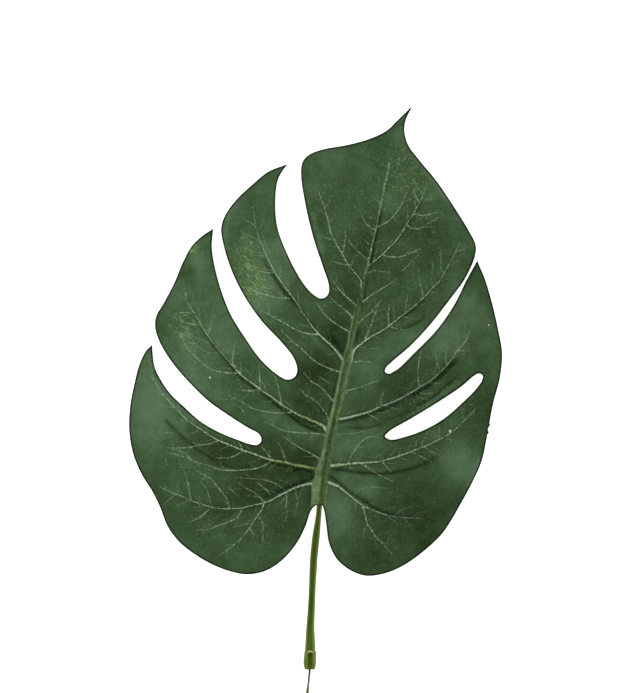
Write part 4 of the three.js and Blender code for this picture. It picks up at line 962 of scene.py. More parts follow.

# %% [markdown]
# ## Print
#
# The cloth was printed in soft patches: paler grey green, dark, and a few yellow ones. Each patch
# is a round brush stroke with a place, a reach and a strength. The dark strokes are in part
# painted shade and the pale grey ones in part painted sheen; the rest is print. The material adds
# the fine mottling, so the strokes only set the broad tones.

# %% Broad tones of the print, with painted shade and sheen
TONE_SHADE_AND_SHEEN_STROKES = [
    # x, y, reach, strength, where above zero is paler. Top lobe
    (10, 159, 20, 0.1), (20, 129, 10, -0.35), (50, 134, 16, -0.35), (39, 122, 8, -0.1),
    (37, 107, 10, -0.1), (39, 186, 7, 0.4), (48, 167, 7, -0.25), (58, 157, 6, 0.3), (55, 150, 8, 0.2),
    (28, 113, 8, -0.35), (12, 104, 8, -0.4), (30, 92, 9, -0.2), (75, 131, 7, 0.2), (67, 112, 8, 0.3),
    (3, 153, 8, -0.25), (31, 140, 6, -0.2), (64, 131, 6, -0.1), (20, 104, 6, -0.3), (21, 119, 6, -0.3),
    (3, 176, 8, 0.35), (31, 149, 6, 0.35), (66, 141, 6, 0.25), (48, 121, 6, 0.2),
    # Upper left lobe
    (-42, 143, 8, 0.3), (-34, 133, 7, 0.15), (-24, 129, 7, 0.45), (-24, 118, 8, 0.55),
    (-24, 104, 8, 0.45), (-33, 103, 7, 0.45), (-6, 91, 7, 0.2), (8, 87.5, 7, -0.65), (-5, 95, 6, -0.25),
    (-15, 86, 6, -0.2), (3, 86, 5, -0.2), (3, 68, 6, -0.2),
    # Middle left lobe
    (-84, 52.5, 14, 1.0), (-52, 84, 12, 0.45), (-62, 121, 5, 0.75), (-65, 116, 4, -0.4),
    (-60, 112, 8, 0.45), (-64, 107, 6, -0.3), (-60, 129, 6, 0.3), (-69, 105, 8, 0.45),
    (-51, 98, 8, 0.3), (-69, 77, 6, 0.3), (-42, 81, 8, 0.25), (-66, 65, 10, 0.5), (-56, 58, 8, 0.5),
    (-87, 66, 7, 0.25), (-9, 66, 6, -0.5), (-16, 59, 6, 0.25), (0, 70, 9, -0.8), (3, 78, 5, 0.3),
    (7, 80, 5, -0.5), (-7, 51, 9, -0.5), (-3, 44, 5, -0.4), (-12, 37, 6, 0.45), (-5, 33, 5, 0.45),
    (-22, 46, 7, 0.35), (-87, 40, 9, 0.4), (-71, 42, 7, 0.35), (-15, 50, 6, -0.2), (-88, 32, 6, 0.2),
    (-22, 30, 7, -0.35),
    # Lowest left lobe
    (-57, 20, 8, 0.35), (-33, 19, 14, -0.7), (-20, 16, 10, -0.4), (-43, 2.5, 10, -0.5),
    (-52, 27, 7, -0.7), (-61, 31.5, 5, -0.5), (-50, 26, 5, -0.4), (-7, 24, 7, -1.0), (-45, 13, 7, 0.35),
    (-17, -9, 8, -0.5), (-48, -14, 10, -0.1), (-33, -13, 7, -0.2), (-6, 4, 5, -0.55), (-34, 6, 6, -0.2),
    (-50, -5, 7, -0.2),
    # Right half
    (27, 76, 12, 0.3), (67, 84, 12, 0.75), (77, 97, 8, 0.6), (72, 103, 6, 0.4), (84, 86, 7, 0.35),
    (62, 78, 8, 0.3), (45, 84, 7, 0.4), (20, 36, 10, 0.4), (68, 22.5, 11, 0.8), (75, 14, 8, 0.4),
    (10, -1, 10, 0.55), (23, 11, 8, 0.3), (42, 57.5, 12, -0.6), (62, 69, 6, -0.3), (84, 50, 10, -0.5),
    (75, 68, 6, 0.2), (47, -1, 14, -0.6), (58, -17.5, 14, -0.5), (27, -26, 12, -0.5), (24, 54, 7, 0.4),
    (25, 66, 7, 0.5), (28, 58, 7, -0.25), (13, 30, 7, 0.3), (10, -10, 6, 0.25), (25, 6.5, 5, 0.4),
    (88, 68, 7, 0.1), (30, 31, 5, 0.2), (21, 46, 8, -0.3), (66, 42, 6, 0.25), (57, 33, 6, 0.25),
    (76, 32, 6, -0.2), (54, 23, 7, -0.4), (39, 77, 6, 0.2), (13, 50, 4, 0.2), (13, 14, 5, 0.2),
]
# Yellow patches
WARM_STROKES = [
    (-30, 110, 9, 0.5), (-38, 125, 7, 0.4), (-67, 88, 8, 0.3), (47, 162, 9, 0.15), (-84, 73, 6, 0.3),
    (-63.5, 128, 2.6, 1.0), (-34.5, 118.5, 2.2, 0.6), (-67.5, 84.3, 2.2, 0.5), (-38, 103, 5, 0.4),
]
# Where the veins are yellower, and where they are duller
ROOT_STROKES = [(-16, 21, 10, 1.0), (-5, 19, 6, 0.8), (-4, 43, 9, 0.9), (8, 20, 4, 0.7), (11, 43, 4, 0.5)]
DULL_STROKES = [
    (-3.2, 18.4, 3.8, 0.65), (-50, 77, 9, 0.4), (23.5, 117.5, 7, 0.55), (-54, -1, 6, 0.25),
    (-42, -14, 14, 0.15), (29, -14, 10, 0.2), (-32, 142, 9, 0.4),
]
# Painted sheen: pale lines along some curled margins
MARGIN_SHEEN_LINES = [
    [(-6, 86), (-3, 83.3), (0, 80.4), (3.6, 77.2), (7, 74.8)],
    [(-4.5, 148), (-3, 142), (-0.5, 134), (2, 124)],
    [(-21.5, 138), (-19, 131), (-15.5, 124), (-10, 116.5), (-3, 108.5)],
    [(-18, 63), (-24, 67.3), (-28, 70.8), (-33, 76.5), (-38, 84)],
    [(44, 44.5), (48, 46.8), (55, 51.2), (62, 56.2), (72, 63.5)],
    [(-68, 46), (-60, 41.4), (-54, 37.8), (-48, 34.6), (-41, 31.8)],
    [(44, 176), (52, 167), (58, 160), (66, 148)],
    [(74, 8), (78, 16), (80.5, 24)],
    [(-47, 124), (-47.6, 135), (-45.5, 146), (-40, 153)],
]
NET_STROKES = [
    # x, y, reach, strength of the fine network
    (45, 160, 15, 1.0), (-1, 156, 9, 0.5), (-33, 112, 11, 1.0), (-36, 128, 8, 0.8), (-66, 86, 10, 1.0),
    (-70, 25, 13, 0.5), (20, 146, 12, 0.5), (53, 146, 8, 0.8), (-42, 62, 9, 0.4), (-58, -8, 9, 0.5),
    (-25, -12, 9, 0.4), (30, -15, 12, 0.35), (75, 50, 7, 0.8), (55, 118, 14, 0.5), (34, 172, 9, 0.8),
    (45, 10, 14, 0.25), (-24, 88, 8, 0.6), (28, 97, 9, 0.6), (50, 52, 14, 0.6), (14, 128, 8, 0.5),
]
# Short streaks in the yellow patches
WARM_STREAKS = [
    [(-70, 87), (-66, 82), (-61, 78.5)], [(-69, 82), (-65, 79), (-62, 75.5)],
    [(-71, 91), (-67, 88.5), (-63, 84)],
    [(-40, 129), (-36, 128), (-33, 127)], [(-39.5, 134.8), (-36, 132), (-33.5, 130.5)],
    [(-38, 121), (-34.5, 119), (-32.5, 116.5)], [(-38, 112.5), (-34, 109.5), (-30, 105.5)],
    [(-37, 116), (-31, 110), (-27, 106.5)], [(-33, 115), (-29, 110.5), (-25, 108)],
    [(-67, 125.5), (-63.5, 128), (-60.5, 126)], [(-38, 108), (-35, 107), (-31, 103.5)],
]
LINE_SHARE = 0.6
# x, y, reach, rise of the edge distance
PALE_NOTCH = (-0.4, 0.6, 1.3, 1.2)


def stroke_sum(points, strokes):
    """Round strokes added up, held between -1 and 1."""
    total = np.zeros(len(points))
    for x, y, reach, strength in strokes:
        apart = ((points - (x, y)) ** 2).sum(1)
        total += strength * np.exp(-apart / reach**2)
    return np.clip(total, -1, 1)


def streak_sum(points, streaks, half_width):
    """Soft lines, from 0 to 1."""
    total = np.zeros(len(points))
    for knots in streaks:
        distance, along, _ = near_line(points, smooth_line(knots, 1.0))
        ends = soft_step(along * (1 - along) * 8)
        total = np.maximum(total, np.exp(-((distance / half_width) ** 2)) * ends)
    return total


def point_tree(points):
    """A search tree that finds the nearest of many points of the drawing."""
    tree = KDTree(len(points))
    for index, (x, y) in enumerate(points):
        tree.insert((x, y, 0), index)
    tree.balance()
    return tree


def hole_marks(points):
    """Where pinholes leave the cloth bare. They are longer than wide."""
    bare = np.zeros(len(points))
    for x, y, reach in PINHOLES:
        bare += np.exp(-(((points - (x, y)) * (1, 0.6)) ** 2).sum(1) / reach**2)
    return bare


def edge_marks(points):
    """Distance to the cut edge, raised at the notch above the stem, where the edge isn't dark."""
    tree = point_tree(rim_points)
    distance = np.array([tree.find((x, y, 0))[2] for x, y in points])
    x, y, reach, rise = PALE_NOTCH
    return distance + rise * np.exp(-((points - (x, y)) ** 2).sum(1) / reach**2)


# Broad tones of print, painted shade and painted sheen, plus painted sheen along some margins
tone = stroke_sum(face_points, TONE_SHADE_AND_SHEEN_STROKES) + LINE_SHARE * streak_sum(face_points, MARGIN_SHEEN_LINES, 1.3)
warm = stroke_sum(face_points, WARM_STROKES) + LINE_SHARE * streak_sum(face_points, WARM_STREAKS, 0.8)
warm = np.clip(warm, 0, 1)
vein_paint *= 1 - stroke_sum(face_points, DULL_STROKES)
print("tone from", tone.min().round(2), "to", tone.max().round(2))

# %% [markdown]
# ## The cloth as a solid
#
# Real cloth has a thickness that shows at the cut edge. The back is the face again, set lower by
# that thickness, and a wall along the edge loops closes the two into one solid.

# %% Build the blade
CLOTH_THICKNESS = 0.5


def mesh_object(name, points, faces):
    """A smooth shaded mesh from points of the drawing in millimetres."""
    mesh = bpy.data.meshes.new(name)
    mesh.from_pydata(to_frame(points).tolist(), [], [tuple(map(int, f)) for f in faces])
    mesh.validate()
    mesh.shade_smooth()
    made = bpy.data.objects.new(name, mesh)
    bpy.context.scene.collection.objects.link(made)
    return made


def point_values(made, name, values):
    """Stores one number for each point of a mesh, for its material to read."""
    layer = made.data.attributes.new(name, "FLOAT", "POINT")
    layer.data.foreach_set("value", np.asarray(values, np.float32))


def edge_walls(count):
    """Two triangles for each step along the edge loops, from the face down to the back."""
    walls = []
    first = 0
    for loop in edge_loops:
        for i in range(len(loop)):
            a, b = first + i, first + (i + 1) % len(loop)
            walls += [(a, a + count, b + count), (a, b + count, b)]
        first += len(loop)
    return walls


def make_blade():
    """The closed cloth, with the values that its material reads stored at every point."""
    count = len(face_points)
    back_height = np.maximum(0.0, cloth_underside(face_points) + relief)
    face = np.column_stack((face_points, back_height + CLOTH_THICKNESS))
    back = np.column_stack((face_points, back_height))
    triangles = [*face_triangles, *(face_triangles[:, ::-1] + count), *edge_walls(count)]
    made = mesh_object("cloth_blade", np.concatenate((face, back)), triangles)
    for name, values in (
        ("vein", vein_paint),
        ("midrib_pale", midrib_paint(midrib_place, midrib_y)),
        ("midrib", midrib_cover(midrib_place, midrib_y)),
        ("fold", fold_depth),
        ("step", step_depth),
        ("shade", vein_shade),
        ("tone", tone),
        ("warm", warm),
        ("net", stroke_sum(face_points, NET_STROKES)),
        ("root", stroke_sum(face_points, ROOT_STROKES)),
        ("bare", hole_marks(face_points)),
        ("edge", edge_marks(face_points)),
    ):
        point_values(made, name, np.tile(values, 2))
    point_values(made, "face", np.repeat([1.0, 0.0], count))
    return made


blade = make_blade()
print("cloth blade:", len(blade.data.polygons), "triangles")

# %% [markdown]
# ## Short ways to build materials
#
# A material is a graph of small steps. These helpers add one step each, so that a material reads
# from top to bottom like a recipe. A colour is given as it looks on a screen, and is turned into
# the share of light that the surface sends back.

# %% Material helpers
SCREEN_TO_SURFACE = 0.8
# A mix node has sockets of the same names for numbers and colours, so these go by their place
MIX_SHARE, MIX_FIRST, MIX_SECOND, MIX_RESULT = 0, 6, 7, 2


def paint(red, green, blue):
    """The surface colour for a screen colour in steps of 0 to 255."""
    screen = [step / 255 for step in (red, green, blue)]
    linear = [c / 12.92 if c <= 0.04045 else ((c + 0.055) / 1.055) ** 2.4 for c in screen]
    return (*[SCREEN_TO_SURFACE * c for c in linear], 1.0)


def connect(tree, value, socket):
    """Links a node's result to a socket, or writes a constant on it."""
    if isinstance(value, bpy.types.NodeSocket):
        tree.links.new(value, socket)
    else:
        socket.default_value = value


def point_value(tree, name):
    """A value that is stored at the points of the mesh."""
    node = tree.nodes.new("ShaderNodeAttribute")
    node.attribute_name = name
    return node.outputs["Fac"]


def own_place(tree):
    """The place on the piece, in metres."""
    return tree.nodes.new("ShaderNodeTexCoord").outputs["Object"]


def three_parts(tree, vector):
    """The X, Y and Z of a vector."""
    node = tree.nodes.new("ShaderNodeSeparateXYZ")
    tree.links.new(vector, node.inputs["Vector"])
    return node.outputs


def noise(tree, size, detail, stretch=(1, 1, 1), turn=0.0):
    """Noise of 0 to 1 with features of about size millimetres, stretched after a turn in degrees."""
    turned = tree.nodes.new("ShaderNodeVectorRotate")
    turned.rotation_type = "Z_AXIS"
    turned.inputs["Angle"].default_value = math.radians(turn)
    scale = tree.nodes.new("ShaderNodeMapping")
    scale.inputs["Scale"].default_value = [share / (size * MM) for share in stretch]
    node = tree.nodes.new("ShaderNodeTexNoise")
    node.inputs["Scale"].default_value = 1.0
    node.inputs["Detail"].default_value = detail
    tree.links.new(own_place(tree), turned.inputs["Vector"])
    tree.links.new(turned.outputs["Vector"], scale.inputs["Vector"])
    tree.links.new(scale.outputs["Vector"], node.inputs["Vector"])
    return node.outputs["Fac"]


def cell_borders(tree, size):
    """Distance to the nearest border of a net of cells of about size millimetres."""
    node = tree.nodes.new("ShaderNodeTexVoronoi")
    node.feature = "DISTANCE_TO_EDGE"
    node.inputs["Scale"].default_value = 1 / (size * MM)
    tree.links.new(own_place(tree), node.inputs["Vector"])
    return node.outputs["Distance"]


def maths(tree, operation, *values):
    """One step of arithmetic."""
    node = tree.nodes.new("ShaderNodeMath")
    node.operation = operation
    for value, socket in zip(values, node.inputs):
        connect(tree, value, socket)
    return node.outputs["Value"]


def times(tree, first, *others):
    """Values multiplied with each other."""
    product = first
    for value in others:
        product = maths(tree, "MULTIPLY", product, value)
    return product


def span(tree, value, low, high, out_low=0.0, out_high=1.0, way="SMOOTHSTEP"):
    """Maps a value from one span to another, eased at both ends and held beyond them."""
    node = tree.nodes.new("ShaderNodeMapRange")
    node.interpolation_type = way
    connect(tree, value, node.inputs["Value"])
    ends = {"From Min": low, "From Max": high, "To Min": out_low, "To Max": out_high}
    for name, number in ends.items():
        node.inputs[name].default_value = number
    return node.outputs["Result"]


def even_span(tree, value, low, high, out_low=0.0, out_high=1.0):
    """Maps a value from one span to another without easing, held beyond the ends."""
    return span(tree, value, low, high, out_low, out_high, "LINEAR")


def mix(tree, share, first, second):
    """The second colour laid over the first one, by a share of 0 to 1."""
    node = tree.nodes.new("ShaderNodeMix")
    node.data_type = "RGBA"
    for value, number in ((share, MIX_SHARE), (first, MIX_FIRST), (second, MIX_SECOND)):
        connect(tree, value, node.inputs[number])
    return node.outputs[MIX_RESULT]


def bump(tree, height, depth, after=None):
    """Fine relief of a depth in millimetres, on top of an earlier one if there is one."""
    node = tree.nodes.new("ShaderNodeBump")
    node.inputs["Strength"].default_value = 1.0
    node.inputs["Distance"].default_value = depth * MM
    tree.links.new(height, node.inputs["Height"])
    if after is not None:
        tree.links.new(after, node.inputs["Normal"])
    return node.outputs["Normal"]


def finish_surface(tree, shader, colour, normal, roughness, shine):
    """Puts the colour, the fine relief and the gloss on a shader."""
    connect(tree, colour, shader.inputs["Base Color"])
    connect(tree, normal, shader.inputs["Normal"])
    shader.inputs["Roughness"].default_value = roughness
    shader.inputs["Specular IOR Level"].default_value = shine


print("mid green reflects", [round(c, 3) for c in paint(60, 90, 55)[:3]])

# %% [markdown]
# ## Ground of the print
#
# Leaf prints are never one green. The ground goes from dark to pale by the broad tones stored at
# the points, which hold print, painted shade and painted sheen, with mottles of three sizes on
# top. Brownish clouds come next and then the yellow patches, which a short dash pattern breaks up
# as on the real print.

# %% Colours of the ground
TONE_SWING = 0.43
MIDDLE_TONE = 0.475
DASH_TURN = 35


def ground_colour(tree, mottles):
    """The ground tones, with mottles given as noise, its span and how far it moves the tone."""
    level = maths(tree, "MULTIPLY_ADD", point_value(tree, "tone"), TONE_SWING, MIDDLE_TONE)
    for mottle, low, high, swing in mottles:
        level = maths(tree, "ADD", level, even_span(tree, mottle, low, high, -swing, swing))
    ground = mix(tree, even_span(tree, level, 0.12, 0.5), paint(39, 57, 28), paint(62, 88, 54))
    ground = mix(tree, even_span(tree, level, 0.5, 0.95), ground, paint(97, 125, 94))
    cloud = span(tree, noise(tree, 11, 2), 0.48, 0.66)
    ground = mix(tree, times(tree, cloud, span(tree, level, 0.6, 0.3), 0.12), ground, paint(74, 80, 50))
    warm = point_value(tree, "warm")
    dashes = span(tree, noise(tree, 1.3, 2, stretch=(0.45, 1.7, 1), turn=DASH_TURN), 0.5, 0.66)
    ground = mix(tree, times(tree, warm, 0.45), ground, paint(104, 132, 80))
    return mix(tree, times(tree, warm, dashes, 0.8), ground, paint(152, 176, 124))


print("the ground tone swings from", MIDDLE_TONE - TONE_SWING, "to", MIDDLE_TONE + TONE_SWING)

# %% [markdown]
# ## Folds, net, veins and midrib
#
# Each function lays one thing over the colours it is given, as a printer adds one ink after the
# other, except the first: painted shade of the folds, the steps and the feet of the main side
# veins. Noise breaks the veins up, because the ink sits unevenly on the weave. Where a fold runs
# across them, veins and midrib sink into its painted shade.

# %% Colours of the lines


def with_fold_shade(tree, ground, fold):
    """Painted shade of the folds, partly dark print, and of the steps and the foot of the main side
    veins.
    """
    dark = maths(tree, "MULTIPLY_ADD", point_value(tree, "step"), 0.1, times(tree, fold, 0.92))
    dark = maths(tree, "MAXIMUM", dark, times(tree, point_value(tree, "shade"), 0.7))
    return mix(tree, dark, ground, paint(9, 26, 3))


def with_net(tree, ground):
    """The net of the very finest veins, which shows in streaks."""
    lines = span(tree, cell_borders(tree, 2.4), 0.09, 0.02)
    streaky = span(tree, noise(tree, 1.6, 3, stretch=(1.6, 0.7, 1)), 0.48, 0.62)
    strength = maths(tree, "MULTIPLY_ADD", point_value(tree, "net"), 0.5, 0.1)
    return mix(tree, times(tree, lines, streaky, strength), ground, paint(126, 158, 116))


def with_veins(tree, ground, fold):
    """Pale veins, uneven and broken where they are thin."""
    uneven = span(tree, noise(tree, 0.9, 2), 0.35, 0.65, 0.72, 1.28)
    vein = times(tree, point_value(tree, "vein"), uneven)
    broken = span(tree, noise(tree, 1.1, 3), 0.36, 0.62, 0.22, 1.25)
    broken = maths(tree, "MAXIMUM", broken, span(tree, vein, 0.6, 0.95))
    # Painted shade: the veins fade where a fold runs across them
    share = times(tree, even_span(tree, vein, 0.02, 0.95), broken, span(tree, fold, 0.35, 1.0, 1.0, 0.25))
    colour = mix(tree, point_value(tree, "root"), paint(176, 202, 166), paint(152, 168, 108))
    return mix(tree, share, ground, colour)


def with_midrib(tree, ground, fold):
    """The midrib's strip, from its dark groove to its pale ridges."""
    rough = span(tree, noise(tree, 1.4, 2, stretch=(1, 0.5, 1)), 0.25, 0.75, -0.2, 0.2)
    grain = span(tree, noise(tree, 0.8, 2), 0.3, 0.7, -0.12, 0.12)
    pale = maths(tree, "ADD", point_value(tree, "midrib_pale"), maths(tree, "ADD", rough, grain))
    strip = mix(tree, even_span(tree, pale, 0, 0.45), paint(54, 72, 30), paint(88, 110, 72))
    palest = mix(tree, span(tree, pale, 0.85, 0.95), paint(128, 150, 98), paint(126, 152, 112))
    strip = mix(tree, even_span(tree, pale, 0.45, 1), strip, palest)
    # Painted shade: the midrib fades where a fold runs across it
    share = times(tree, point_value(tree, "midrib"), 0.92, span(tree, fold, 0.3, 0.9, 1.0, 0.3))
    return mix(tree, share, ground, strip)


print("four layers of lines: folds, net, veins and midrib")

# %% [markdown]
# ## Printed cloth
#
# Ground and lines are put together, then flecks where the weave took less ink, pinholes that
# show pale, and the dark line of the hot cut. The back of such a leaf has no print and is plain
# pale green.

# %% Material of the blade


def cloth_material():
    """Printed face with painted shade and sheen, plain back and burnt edge in one material."""
    material, shader = new_material("printed_cloth")
    tree = material.node_tree
    broad, middle, fine = noise(tree, 17, 2), noise(tree, 5, 3), noise(tree, 1.1, 2)
    weave = noise(tree, 0.55, 1, stretch=(1, 1.6, 1))
    fold = point_value(tree, "fold")
    mottles = ((broad, 0.25, 0.75, 0.1), (middle, 0.25, 0.75, 0.09), (fine, 0.2, 0.8, 0.09))
    printed = with_fold_shade(tree, ground_colour(tree, mottles), fold)
    printed = with_veins(tree, with_net(tree, printed), fold)
    printed = with_midrib(tree, printed, fold)
    fleck = times(tree, span(tree, weave, 0.66, 0.74), span(tree, middle, 0.42, 0.62), 0.2)
    printed = mix(tree, fleck, printed, paint(128, 162, 124))
    printed = mix(tree, span(tree, point_value(tree, "bare"), 0.2, 0.7), printed, paint(212, 234, 196))
    edge = span(tree, point_value(tree, "edge"), 1.15, 0.6)
    burnt = times(tree, edge, span(tree, noise(tree, 4, 3), 0.35, 0.65, 0.72, 1.0))
    printed = mix(tree, burnt, printed, paint(24, 34, 18))
    back = mix(tree, span(tree, fine, 0.3, 0.7), paint(112, 134, 98), paint(126, 148, 110))
    back = mix(tree, times(tree, edge, 0.8), back, paint(38, 46, 26))
    colour = mix(tree, span(tree, point_value(tree, "face"), 0.2, 0.8), back, printed)
    relief_normal = bump(tree, middle, 0.35, after=bump(tree, weave, 0.05))
    finish_surface(tree, shader, colour, relief_normal, roughness=0.62, shine=0.06)
    return material


blade.data.materials.append(cloth_material())
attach(blade, "root")
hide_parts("blade")
print("the blade is dressed")

# %% [markdown]
# ## The stem, moulded in plastic
#
# The stem is one moulding: a round rod below the blade, a flatter rib behind the midrib, and
# thin ribs behind the side veins. Rings of points along a line, joined one to the next, make
# such a form. How high each ring lies is measured on the fixed model.

# %% Rings along a line
RING_SIDES = 28
RIB_SIDES = 12


def loft(name, rings):
    """A closed mesh through rings of equally many points."""
    sides = len(rings[0])
    faces = []
    for r in range(len(rings) - 1):
        for s in range(sides):
            a, b = r * sides + s, r * sides + (s + 1) % sides
            faces.append((a, b, b + sides, a + sides))
    last = (len(rings) - 1) * sides
    faces.append(tuple(range(sides))[::-1])
    faces.append(tuple(range(last, last + sides)))
    return mesh_object(name, np.concatenate(rings), faces)


def ring(centre, aim, wide, high, sides, top=1.0, seam=0.0):
    """A ring square to the direction aim. Its top is cut flat, or has a shallow seam."""
    angle = 2 * np.pi * (np.arange(sides) + 0.5) / sides
    shrink = 1 - seam * np.exp(-(((angle - np.pi / 2) / 0.3) ** 2))
    out = wide * np.cos(angle) * shrink
    up = np.minimum(high * np.sin(angle) * shrink, high * top)
    aim = np.asarray(aim, float) / np.linalg.norm(aim)
    return np.column_stack((centre[0] + aim[1] * out, centre[1] - aim[0] * out, centre[2] + up))


print("a ring has", len(ring((0, 0, 0), (0, 1), 1, 1, RING_SIDES)), "points")

# %% [markdown]
# ## Rod and ribs
#
# Below the joint the stem is round, with a shallow seam where the halves of the mould met.
# Behind the cloth it turns into a flatter rib and thins towards the tip. The line was drawn,
# and rays sent up from below measure how high it lies on the fixed model. The thin side
# ribs follow the back of the fine cloth at a small distance.

# %% Rings of the rod and the ribs
STEM_LINE = [
    (-5, -74.5), (-4.95, -72), (-4.9, -66), (-4.85, -61), (-4.5, -55), (-4.15, -48), (-3.8, -40),
    (-3.4, -32), (-3.05, -26), (-2.45, -20), (-1.9, -15), (-1.3, -10), (-0.7, -5), (-0.3, 0),
    (0.1, 3.75), (0.6, 10), (1.5, 16), (2.9, 22.5), (5.3, 35), (9, 53.8), (13.2, 72), (18.3, 98),
    (22.6, 116), (28.2, 140), (33.5, 165),
]
STEM_SIZES = [
    # y, half width, half height
    (-74.5, 2.65, 2.4), (-72, 2.6, 2.35), (-66, 2.3, 2.15), (-61, 2.02, 2), (-55, 1.86, 1.85),
    (-48, 1.76, 1.75), (-40, 1.72, 1.7), (-32, 1.88, 1.8), (-20, 1.9, 1.8), (-14, 1.85, 1.75),
    (-9, 1.5, 1.6), (-4, 1.35, 1.5), (1, 1.3, 1.5), (9, 1.9, 1.8), (24, 2.1, 1.9), (60, 1.85, 1.6),
    (110, 1.25, 1.15), (150, 0.8, 0.75), (165, 0.5, 0.45),
]
SEAM_DEPTH = 0.13
RIB_GAP = 0.12
RIB_TOP = 0.35
RIB_SHARE = 0.78
LEVEL_SHARE = 0.97

stem_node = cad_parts["stem"]
to_drawing = Vector((SHIFT_X, SHIFT_Y, 0))
stem_tree = BVHTree.FromPolygons(
    [v.co / MM - to_drawing for v in stem_node.data.vertices],
    [p.vertices for p in stem_node.data.polygons],
)
cloth_tree = point_tree(face_points)


def lowest_on_stem(x, y):
    """Height of the fixed stem's underside at a point of the drawing, or None beside it."""
    hit = stem_tree.ray_cast((x, y, -50), (0, 0, 1))[0]
    return hit.z if hit else None


def blade_back(points):
    """Height of the fine cloth's back at points of the drawing."""
    found = [cloth_tree.find((x, y, 0))[1] for x, y in points]
    return np.maximum(0.0, cloth_underside(points) + relief[found])


def stem_rings():
    """Rings of the rod and the rib behind the midrib, from the collar to the tip."""
    line = smooth_line(STEM_LINE, 0.9)
    y = line[:, 1]
    wide, high = (np.interp(y, *zip(*[(s[0], s[k]) for s in STEM_SIZES])) for k in (1, 2))
    for values in (wide, high):
        values[2:-2] = np.convolve(values, np.ones(5) / 5, "same")[2:-2]
    as_rib = soft_step((y + 6) / 13)
    bottom = np.array([lowest_on_stem(*p) or np.nan for p in line])
    known = np.isfinite(bottom)
    bottom = np.interp(y, y[known], bottom[known])
    bottom[3:-3] = np.convolve(bottom, np.ones(7) / 7, "same")[3:-3]
    aims = np.gradient(line, axis=0)
    rings = []
    for k, point in enumerate(line):
        centre = (*point, bottom[k] + LEVEL_SHARE * high[k])
        top = 1 + (RIB_TOP - 1) * as_rib[k]
        seam = SEAM_DEPTH * (1 - as_rib[k])
        rings.append(ring(centre, aims[k], wide[k], high[k], RING_SIDES, top, seam))
    return rings


def side_rib_rings(points):
    """A rib that hangs just below the cloth, from the midrib outwards."""
    line = smooth_line(points, 1.5)
    line = line[: round(RIB_SHARE * len(line))]
    share = np.linspace(0, 1, len(line))
    wide, high = 1.0 - 0.55 * share, 0.95 - 0.55 * share
    aims = np.gradient(line, axis=0)
    across = np.column_stack((aims[:, 1], -aims[:, 0])) / np.linalg.norm(aims, axis=1)[:, None]
    heights = [blade_back(line + across * wide[:, None] * side) for side in (-1, 0, 1)]
    seat = np.min(heights, axis=0) - RIB_GAP
    return [
        ring((*line[k], seat[k] - RIB_TOP * high[k]), aims[k], wide[k], high[k], RIB_SIDES, RIB_TOP)
        for k in range(len(line))
    ]


print("the stem has", len(stem_rings()), "rings")

# %% [markdown]
# ## Collar and window
#
# The collar has a long window with a raised rim, where the mould held the wire, and a bore for
# the wire to leave by. It bulges a little at the left and leans a little, as in the photo. The
# window and its rim share one round-ended outline, seen from above.

# %% Rings of the collar and its window
COLLAR = {"x": -5.0, "axis": 2.7, "radius": 3.0, "top": -73.0, "end": -82.5}
COLLAR_BULGE = {"y": -79.0, "reach": 3.0, "size": 0.2, "left_share": 0.6}
COLLAR_LEAN = {"y": -78.0, "slope": 0.02}
COLLAR_LOW = 0.02
COLLAR_SIDES, LONG_SIDES, BORE_SIDES = 40, 32, 20
WINDOW = {"x": -4.85, "y": -78.7, "half_width": 1.15, "half_length": 4.75, "rim": 0.75, "proud": 0.14}
BORE = {"radius": 0.7, "from": -84, "to": -74.6}
ARCH_HIGHLIGHT = {"y": -74.4, "radius": 1.22}


def collar_rings():
    """The barrel of the collar, tapered at its end and rounded towards the rod."""
    x, axis, radius, top, end = (COLLAR[k] for k in ("x", "axis", "radius", "top", "end"))
    profile = [(end, 0.68), (end + 0.1, 0.78), (end + 0.3, 0.85), (end + 0.7, 0.9), (end + 1.4, 0.94)]
    profile += [(end + 2.2, 0.97), *[(y, 1.0) for y in np.linspace(end + 3, top - 1.2, 7)]]
    profile += [(top - 0.7, 0.98), (top - 0.4, 0.93), (top - 0.1, 0.84), (top, 0.79)]
    rings = []
    for y, share in profile:
        bulge = COLLAR_BULGE["size"] * math.exp(-(((y - COLLAR_BULGE["y"]) / COLLAR_BULGE["reach"]) ** 2))
        middle = x - COLLAR_BULGE["left_share"] * bulge + COLLAR_LEAN["slope"] * (y - COLLAR_LEAN["y"])
        wide, high = radius * share + bulge, radius * share
        level = ring((middle, y, axis), (0, 1), wide, high, COLLAR_SIDES)
        rings.append(np.maximum(level, (-np.inf, -np.inf, COLLAR_LOW)))
    return rings


def long_rings(half_width, half_length, levels):
    """Rings of a long round-ended shape seen from above, at (height, growth) levels."""
    straight = half_length - half_width
    angle = 2 * np.pi * np.arange(LONG_SIDES) / LONG_SIDES
    rings = []
    for height, growth in levels:
        wide = half_width + growth
        x = WINDOW["x"] + wide * np.cos(angle)
        y = WINDOW["y"] + wide * np.sin(angle) + straight * np.sign(np.sin(angle).round(6))
        rings.append(np.column_stack((x, y, np.full(LONG_SIDES, height))))
    return rings


print("the collar has", len(collar_rings()), "rings")

# %% [markdown]
# ## One moulding
#
# Rod, collar, rim and ribs come out of one mould, so they are added to one mesh. Tools of the
# window's and the bore's shape then take those away, as the mould's cores would.

# %% Build the stem


def join_with(target, tool, way):
    """Adds a tool's shape to the target, or cuts it away."""
    step = target.modifiers.new(way.lower(), "BOOLEAN")
    step.operation = way
    step.object = tool
    step.solver = "EXACT"
    made = bpy.data.meshes.new_from_object(target.evaluated_get(bpy.context.evaluated_depsgraph_get()))
    target.modifiers.clear()
    target.data = made
    bpy.data.objects.remove(tool)


stem = loft("moulded_stem", stem_rings())
join_with(stem, loft("collar", collar_rings()), "UNION")
axis, rim = COLLAR["axis"], WINDOW["rim"]
half_width, half_length = WINDOW["half_width"], WINDOW["half_length"]
top_of_rim = axis + COLLAR["radius"] + WINDOW["proud"]
